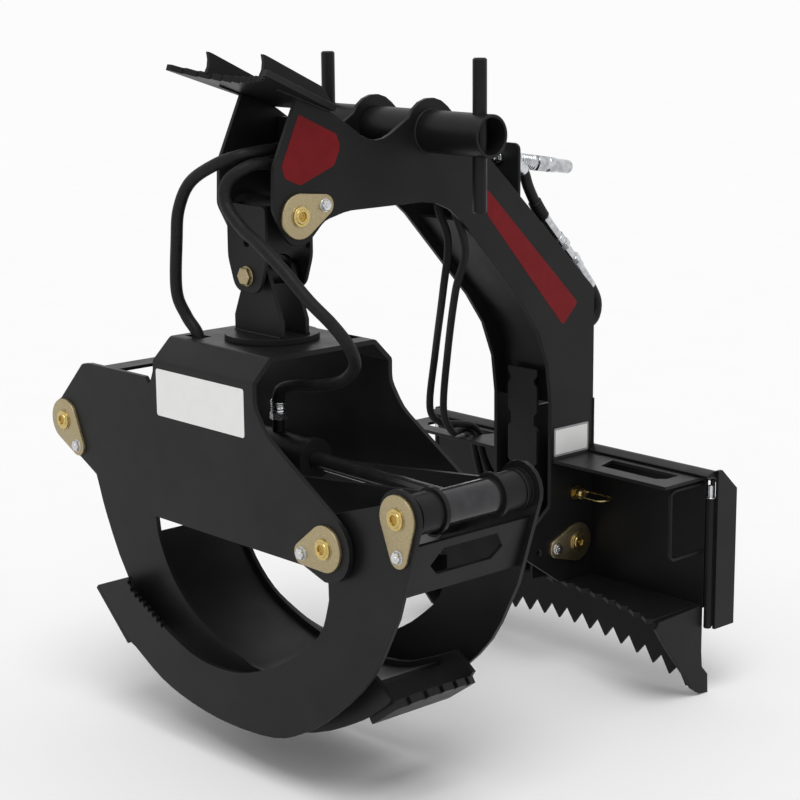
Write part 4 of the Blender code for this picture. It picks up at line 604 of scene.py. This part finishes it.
def feed_ribs(name, start, end, low, count, material):
    """Ribs round the hose; low is how far the grooves stand off it."""
    groove, crest = HOSE_R + low, HOSE_R + 0.0036
    stations = [(start, groove - 0.002)]
    pitch = (end - start) / count
    for i in range(count):
        s = start + (end - start) * i / count
        stations += [(s + pitch * 0.08, groove), (s + pitch * 0.25, crest), (s + pitch * 0.65, crest),
                     (s + pitch * 0.82, groove)]
    stations.append((end, groove - 0.002))
    fitting(name, path_e, stations, material, "frame", smooth_angle=50)


def feed_tube(name, start, end, radius):
    neck = radius - 0.0016
    fitting(name, path_e, [(start, neck), (start + 0.001, radius), (end - 0.002, radius), (end, neck)], CHROME, "frame")


def feed_hex(name, start, end):
    neck, wide = 0.0165, 0.0225
    fitting(name, path_e, [(start, neck), (start + 0.001, wide), (end - 0.001, wide), (end, neck)], SILVER, "frame",
            sides=6, smooth_angle=25)


feed_ribs("feed_sleeve", 0.152, 0.216, 0.0008, 6, RUBBER)
feed_tube("feed_tube_upper", 0.215, 0.302, 0.0166)
feed_ribs("feed_knurl_upper", 0.300, 0.326, 0.0016, 5, SILVER)
feed_hex("feed_hex_upper", 0.326, 0.349)
feed_tube("feed_tube_middle", 0.348, 0.394, 0.0168)
feed_hex("feed_hex_lower", 0.392, 0.413)
feed_ribs("feed_knurl_lower", 0.413, 0.438, 0.0016, 5, SILVER)
feed_tube("feed_tube_lower", 0.437, 0.522, 0.0168)


# Turned parts that stand for CAD solids

bore = TUBE_R - TUBE_WALL
lathe("cross_tube_round", [(bore, -TUBE_HALF_LENGTH), (TUBE_R, -TUBE_HALF_LENGTH), (TUBE_R, TUBE_HALF_LENGTH),
                           (bore, TUBE_HALF_LENGTH)],
      TUBE, X, BLACK, "frame", cut=0.0018, sides=96, replaces=("cross_tube",), ring=True)
for _, title in SIDES:
    low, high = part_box("stake_" + title)
    half = (high[2] - low[2]) / 2
    lathe("stake_round_" + title, [(0, -half), (STAKE_R, -half), (STAKE_R, half), (0, half)],
          (Vector(low) + Vector(high)) / 2, Z, BLACK, "frame", cut=0.004, sides=64, replaces=("stake_" + title,))


# Couplers

COUPLER_X = 0.026
COUPLER_FALL = math.radians(9)
COUPLER_HEXES = (("hex_front", 0.026, 0.060, 0.0425), ("hex_rear", 0.160, 0.196, 0.0440))     # from, to, across flats


def coupler_profile():
    """A plain end, a sleeve with six ribs, a collar and a stepped nose with a recess."""
    profile = [(0, 0.0), (0.0196, 0.0), (0.0196, 0.088), (0.0216, 0.089)]
    for i in range(6):
        s = 0.090 + i * 0.0085
        profile += [(0.0226, s), (0.0226, s + 0.005), (0.0204, s + 0.006), (0.0204, s + 0.008)]
    return profile + [(0.0226, 0.142), (0.0226, 0.150), (0.0196, 0.152), (0.0196, 0.206), (0.0222, 0.208),
                      (0.0222, 0.236), (0.0198, 0.240), (0.0198, 0.296), (0.0184, 0.3004), (0.0120, 0.3004),
                      (0.0120, 0.2960), (0, 0.2960)]


def coupler(name, x):
    """A half coupler with its plug in it, and the two hexagons on them."""
    start = Vector((x, -0.3295, 1.105))
    fall = Vector((0, math.cos(COUPLER_FALL), -math.sin(COUPLER_FALL)))
    lathe(name + "_sleeve", coupler_profile(), start, fall, CHROME, "frame", cut=0.0006, sides=48)
    for title, low, high, across in COUPLER_HEXES:
        work = bmesh.new()
        hex_into(work, frame_along(start + fall * low, fall), across, 0, high - low, 0.0020)
        piece(f"{name}_{title}", from_bmesh(work, title), CHROME, "frame", smooth_angle=25)


for number, (side, _) in enumerate(SIDES, 1):
    coupler(f"coupler_{number}", side * COUPLER_X)


# Corner posts of the mount, each with a bright pin in its top

POST_X, POST_Y = 0.5598, -0.0035
POST_BOTTOM, POST_TOP = -0.2285, 0.157
POST_R, POST_COLLAR_R, POST_PIN_R = 0.0116, 0.0128, 0.0078

for side, title in SIDES:
    post = Vector((side * POST_X, POST_Y, 0))
    lathe("mount_post_" + title, [(0, POST_BOTTOM), (POST_R, POST_BOTTOM), (POST_R, POST_TOP), (0, POST_TOP)],
          post, Z, BLACK, "frame", cut=0.0015, sides=40)
    lathe("mount_post_pin_" + title, [(0, 0.1565), (POST_COLLAR_R, 0.1565), (POST_COLLAR_R, 0.1590),
                                      (POST_PIN_R, 0.1590), (POST_PIN_R, 0.1940), (0, 0.1940)],
          post, Z, SILVER, "frame", cut=0.0006, sides=40)


# The bolt through the link, with a washer and a hexagon at each end

SHANK_R, SHANK_HALF_LENGTH = 0.0158, 0.0790
BOLT_SEAT = 0.0783                      # from the head's middle plane
BOLT_WASHER_R, BOLT_WASHER_TOP = 0.0262, 0.0030
BOLT_ACROSS, BOLT_HEAD_TOP, BOLT_CHAMFER = 0.0430, 0.0155, 0.0030


def cross_bolt():
    work = bmesh.new()
    washer = [(0, 0), (BOLT_WASHER_R, 0), (BOLT_WASHER_R, BOLT_WASHER_TOP), (0, BOLT_WASHER_TOP)]
    for side, _ in SIDES:
        matrix = frame_along(Vector((0, HEAD_Y + side * BOLT_SEAT, CROSS_Z)), Y * side)
        lathe_into(work, chamfered(washer, 0.0008), matrix, 48)
        hex_into(work, matrix, BOLT_ACROSS, BOLT_WASHER_TOP, BOLT_HEAD_TOP, BOLT_CHAMFER)
    shank = [(0, -SHANK_HALF_LENGTH), (SHANK_R, -SHANK_HALF_LENGTH), (SHANK_R, SHANK_HALF_LENGTH),
             (0, SHANK_HALF_LENGTH)]
    lathe_into(work, shank, frame_along(Vector((0, HEAD_Y, CROSS_Z)), Y), 48)
    piece("cross_bolt_turned", from_bmesh(work, "cross_bolt_turned"), GOLD, "link", smooth_angle=30,
          replaces=("cross_bolt",))


cross_bolt()


# Keepers: faces, screws and pin ends. Points are (y, z) on a keeper across X and (x, z) on one across Y.

def teardrop(centre, tip, shrink):
    """A keeper's outline: a large round at the pin and a small one at the screw, joined by tangents."""
    along_x, along_y = tip[0] - centre[0], tip[1] - centre[1]
    heading = math.atan2(along_y, along_x)
    lean = math.acos((KEEPER_R - KEEPER_TIP_R) / math.hypot(along_x, along_y))
    points = []
    for place, radius, start, end, count in (
            (tip, KEEPER_TIP_R - shrink, heading - lean, heading + lean, 20),
            (centre, KEEPER_R - shrink, heading + lean, heading - lean + math.tau, 44)):
        for i in range(count + 1):
            angle = start + (end - start) * i / count
            points.append((place[0] + radius * math.cos(angle), place[1] + radius * math.sin(angle)))
    return points


def keeper_skin(name, centre, tip, place, body):
    """The keeper's face with its rounded edge, laid over the CAD's."""
    work = bmesh.new()
    edge = ((-0.0003, KEEPER_GAP), (-0.0003, KEEPER_TOP - 0.0010), (0.0001, KEEPER_TOP),
            (0.0011, KEEPER_TOP + 0.0004))
    loops = [[work.verts.new(place(point, height)) for point in teardrop(centre, tip, shrink)]
             for shrink, height in edge]
    join_loops(work, loops)
    work.faces.new(loops[-1])
    piece(name, from_bmesh(work, name), GOLD, body, smooth_angle=50)


PIN_FACE = [(0.0122, 0.0003), (0.0128, 0.0036), (0.0182, 0.0036), (0.0192, 0.0006), (0.0262, 0.0004),
            (0.0266, -0.0064)]
PIN_RECESS = [(0, 0.0022), (0.0030, 0.0022), (0.0046, 0.0006), (0.0128, 0.0006)]
PIN_COLLAR = [(0.0258, -0.0040), (0.0300, -0.0040), (0.0300, -0.0062)]
SCREW_ACROSS, SCREW_HEIGHT = 0.0272, 0.0101


def keeper_trim(name, centre, offset, axis, face, side, body):
    """The skin, the bright screw and the turned pin end of the keeper that lies on a plate's face."""
    outward = axis * side

    def place(point, height):
        across = Vector((0, point[0], point[1])) if axis == X else Vector((point[0], 0, point[1]))
        return across + axis * face + outward * height

    tip = (centre[0] + offset[0], centre[1] + offset[1])
    keeper_skin(name + "_keeper_face", centre, tip, place, body)
    bolt(name + "_screw_head", place(tip, KEEPER_TOP), outward, SCREW_ACROSS, SCREW_HEIGHT, body)
    seat = place(centre, KEEPER_TOP + PIN_PROUD)
    lathe(name + "_pin_face", PIN_FACE, seat, outward, BRASS, body, cut=0.0005, sides=48)
    lathe(name + "_pin_recess", PIN_RECESS, seat, outward, DEEP_GOLD, body, cut=0.0003, sides=32)
    lathe(name + "_pin_collar", PIN_COLLAR, seat, outward, GOLD, body, cut=0.0006, sides=48)


# Name, pin centre, screw's offset from it, axis, place of the plate's face on that axis, side it faces, CAD node
for *keeper, node in (
        ("nose", (HEAD_Y, NOSE_Z), (0.082, 0.022), X, MAST_X, 1, "nose_pin"),
        ("foot", (-0.083, -0.047), (-0.087, -0.005), X, MAST_X, 1, "foot_pin"),
        ("left_hinge", LEFT_PIN.xz, (0.062, -0.064), Y, HEAD_FACE_Y, -1, "left_tong_pin"),
        ("right_hinge", RIGHT_PIN.xz, (-0.083, -0.028), Y, HEAD_FACE_Y, -1, "right_tong_pin"),
        ("lever_front", LEVER_PIN.xz, (0.004, -0.091), Y, HEAD_Y - TONG_HALF_DEPTH, -1, "lever_pin_front"),
        ("lever_rear", LEVER_PIN.xz, (0.004, -0.091), Y, HEAD_Y + TONG_HALF_DEPTH, 1, "lever_pin_rear")):
    keeper_trim(*keeper, body_of(NODES[node])[0])


# Weld beads, and the washers of the lever pins

def bead(name, path, radius, body, closed=False, seed=0.0):
    """A weld bead with its ripples, along a path or round a closed one."""
    track = path + path[:1] if closed else path
    dense = []
    for a, b in zip(track, track[1:]):
        count = max(1, round((b - a).length / (radius * 0.55)))
        dense += [a.lerp(b, i / count) for i in range(count)]
    dense.append(dense[0] if closed else path[-1])
    frames = frames_on(dense)
    radii = [radius * (1 + 0.10 * math.sin(i * 2.1) + 0.10 * noise.noise(Vector((seed, i * 0.21, 0.3))))
             for i in range(len(dense))]
    if closed:
        frames[-1], radii[-1] = frames[0], radii[0]
    mesh = tube_mesh(name, dense, frames, radii, sides=8, caps=(not closed, not closed))
    # The bead's lighter copy of the black coat is painted highlight.
    piece(name, mesh, WELD, body, smooth_angle=80)


def ring_bead(name, centre, axis, ring_radius, radius, body):
    turn = frame_along(centre, axis)
    bead(name, [turn @ point for point in circle(ring_radius, 0, 72)], radius, body, closed=True,
         seed=sum(centre) * 3.1)


PUSHER_REAR_Y, PUSHER_REAR_Z = -1.014, 1.279
PUSHER_SLOPE = math.tan(math.radians(20.5))
SHELF_WELD_Z, MOUNT_WELD_Y = 0.2205, -0.0130                # on the shelves' tops and the mounting plate's face
COLLAR_WELD_REACH, YOKE_WELD_REACH = 0.1995, 0.0475         # from the head's middle plane
WASHER = [(0.0498, 0.0), (0.0530, 0.0), (0.0530, 0.0050), (0.0498, 0.0050)]
WASHER_SEATS = (("outer", 0.1880), ("inner", 0.1700))       # from the head's middle plane

for side, title in SIDES:
    ring_bead(f"tube_weld_{title}", TUBE + X * side * MAST_X, X, TUBE_R + 0.001, 0.0042, "frame")
    bead(f"pusher_weld_{title}",
         [Vector((side * MAST_X, y, PUSHER_REAR_Z + (PUSHER_REAR_Y - y) * PUSHER_SLOPE - 0.001))
          for y in (-1.020, -1.080, -1.140, -1.186)], 0.0042, "frame", seed=side)
for side, title in SIDES:
    for place, reach in WASHER_SEATS:
        lathe(f"lever_washer_{place}_{title}", WASHER, (LEVER_PIN.x, HEAD_Y + side * reach, LEVER_PIN.z), Y * side,
              BLACK, "right_tong", cut=0.0008, sides=64, ring=True)
    ring_bead(f"collar_weld_{title}", Vector((LEVER_PIN.x, HEAD_Y + side * COLLAR_WELD_REACH, LEVER_PIN.z)), Y,
              0.0505, 0.0035, "right_tong")
    bead(f"shelf_weld_{title}", [Vector((side * MAST_X, y, SHELF_WELD_Z)) for y in (-0.186, -0.100, -0.016)],
         0.0040, "frame", seed=side * 2)
    bead(f"plate_weld_{title}", [Vector((side * x, MOUNT_WELD_Y, SHELF_WELD_Z)) for x in (0.122, 0.300, 0.520)],
         0.0040, "frame", seed=side * 3)
    bead(f"mast_weld_{title}", [Vector((side * MAST_X, MOUNT_WELD_Y, z)) for z in (0.224, 0.300, 0.380)],
         0.0040, "frame", seed=side * 4)
    bead(f"yoke_weld_{title}", [Vector((x, HEAD_Y + side * YOKE_WELD_REACH, DISC_TOP)) for x in (-0.094, 0, 0.094)],
         0.0038, "yoke", seed=side * 5)


# Films, blank where the photograph has words

FILM_THICKNESS = 0.0004
FILM_LIFT = 0.0002                      # film off the plate
BORDER_LIFT = 0.0006                    # upper film off the plate, on the lower one
NOSE_RED = ((-1.1196, 1.2761), (-0.9971, 1.2200), (-0.9859, 1.1869), (-1.0062, 1.1412), (-1.1203, 1.0983),
            (-1.1698, 1.1195), (-1.1800, 1.1500), (-1.1247, 1.2718))
STRIPE_RED = ((-0.4564, 1.0360), (-0.0850, 0.6755), (-0.1470, 0.6150), (-0.4600, 0.9690))


def rectangle(low, high):
    return (low, (high[0], low[1]), high, (low[0], high[1]))


def rounded(corners, radius, count=4):
    """The closed outline with its corners rounded."""
    result = []
    total = len(corners)
    for i, here in enumerate(corners):
        here = Vector(here)
        back = Vector(corners[i - 1]) - here
        ahead = Vector(corners[(i + 1) % total]) - here
        size = min(radius, back.length * 0.4, ahead.length * 0.4)
        a, b = here + back.normalized() * size, here + ahead.normalized() * size
        for k in range(count + 1):
            t = k / count
            result.append(a.lerp(here, t).lerp(here.lerp(b, t), t))
    return result


def film_piece(name, outline, normal, material, body):
    work = bmesh.new()
    lower = [work.verts.new(point) for point in outline]
    upper = [work.verts.new(point + normal * FILM_THICKNESS) for point in outline]
    work.faces.new(lower)
    work.faces.new(upper)
    join_loops(work, [lower, upper])
    piece(name, from_bmesh(work, name), material, body, smooth_angle=30)


def mast_film(name, corners, radius, material, side=1, lift=FILM_LIFT):
    outline = rounded([(side * (MAST_X + lift), y, z) for y, z in corners], radius)
    film_piece(name, outline, X * side, material, "frame")


def head_film(name, corners, radius, material):
    outline = rounded([(x, HEAD_FACE_Y - FILM_LIFT, z) for x, z in corners], radius)
    film_piece(name, outline, -Y, material, "head")


for side, title in reversed(SIDES):
    mast_film("nose_red_" + title, NOSE_RED, 0.007, RED, side)
    mast_film("stripe_red_" + title, STRIPE_RED, 0.014, RED, side)
mast_film("data_film", rectangle((-0.180, 0.227), (-0.033, 0.312)), 0.006, GREY)
mast_film("data_film_border", rectangle((-0.174, 0.233), (-0.039, 0.306)), 0.004, PALE, lift=BORDER_LIFT)
head_film("head_film", rectangle((-0.198, 0.492), (0.172, 0.617)), 0.008, PALE)


# Floor and light

FLOOR_REACH = 260                       # far enough for the floor's edge to meet the horizon
AMBIENT = 0.63                          # the world's level as light on matt surfaces
BACKDROP = 0.975                        # and as seen, in glossy surfaces too
SUN_TOWARDS, SUN_STRENGTH, SUN_ANGLE = (-0.35, 0.30, -0.90), 1.30, math.radians(34)


def floor():
    work = bmesh.new()
    corners = ((-1, -1), (1, -1), (1, 1), (-1, 1))
    work.faces.new([work.verts.new((x * FLOOR_REACH, y * FLOOR_REACH, CAD_BOX[0][2])) for x, y in corners])
    mesh = bpy.data.meshes.new("floor")
    work.to_mesh(mesh)
    work.free()
    mesh.materials.append(finish("studio_floor", [(0.3, (0.968, 0.968, 0.968)), (0.7, (0.976, 0.976, 0.976))],
                                 (3, 2), (3, 2), (0.80, 0.90), (40, 2), (0.004, 0.0001), Specular_IOR_Level=0.0))
    obj = bpy.data.objects.new("studio_floor", mesh)
    SCENE.collection.objects.link(obj)


def world():
    data = bpy.data.worlds.new("studio")
    data.use_nodes = True
    tree = data.node_tree
    back = tree.nodes["Background"]
    back.inputs["Color"].default_value = (1, 1, 1, 1)
    rays = tree.nodes.new("ShaderNodeLightPath").outputs
    seen = rays["Is Camera Ray"]
    for kind in ("Is Glossy Ray", "Is Transmission Ray"):
        either = tree.nodes.new("ShaderNodeMath")
        either.operation = "MAXIMUM"
        tree.links.new(seen, either.inputs[0])
        tree.links.new(rays[kind], either.inputs[1])
        seen = either.outputs[0]
    level = tree.nodes.new("ShaderNodeMapRange")
    level.inputs["To Min"].default_value = AMBIENT
    level.inputs["To Max"].default_value = BACKDROP
    tree.links.new(seen, level.inputs["Value"])
    tree.links.new(level.outputs["Result"], back.inputs["Strength"])
    SCENE.world = data


def sun():
    data = bpy.data.lights.new("key_sun", "SUN")
    data.energy = SUN_STRENGTH
    data.angle = SUN_ANGLE
    obj = bpy.data.objects.new("key_sun", data)
    obj.rotation_euler = Vector(SUN_TOWARDS).to_track_quat("-Z", "Y").to_euler()
    SCENE.collection.objects.link(obj)


floor()
world()
sun()
SCENE.view_settings.view_transform = "Standard"
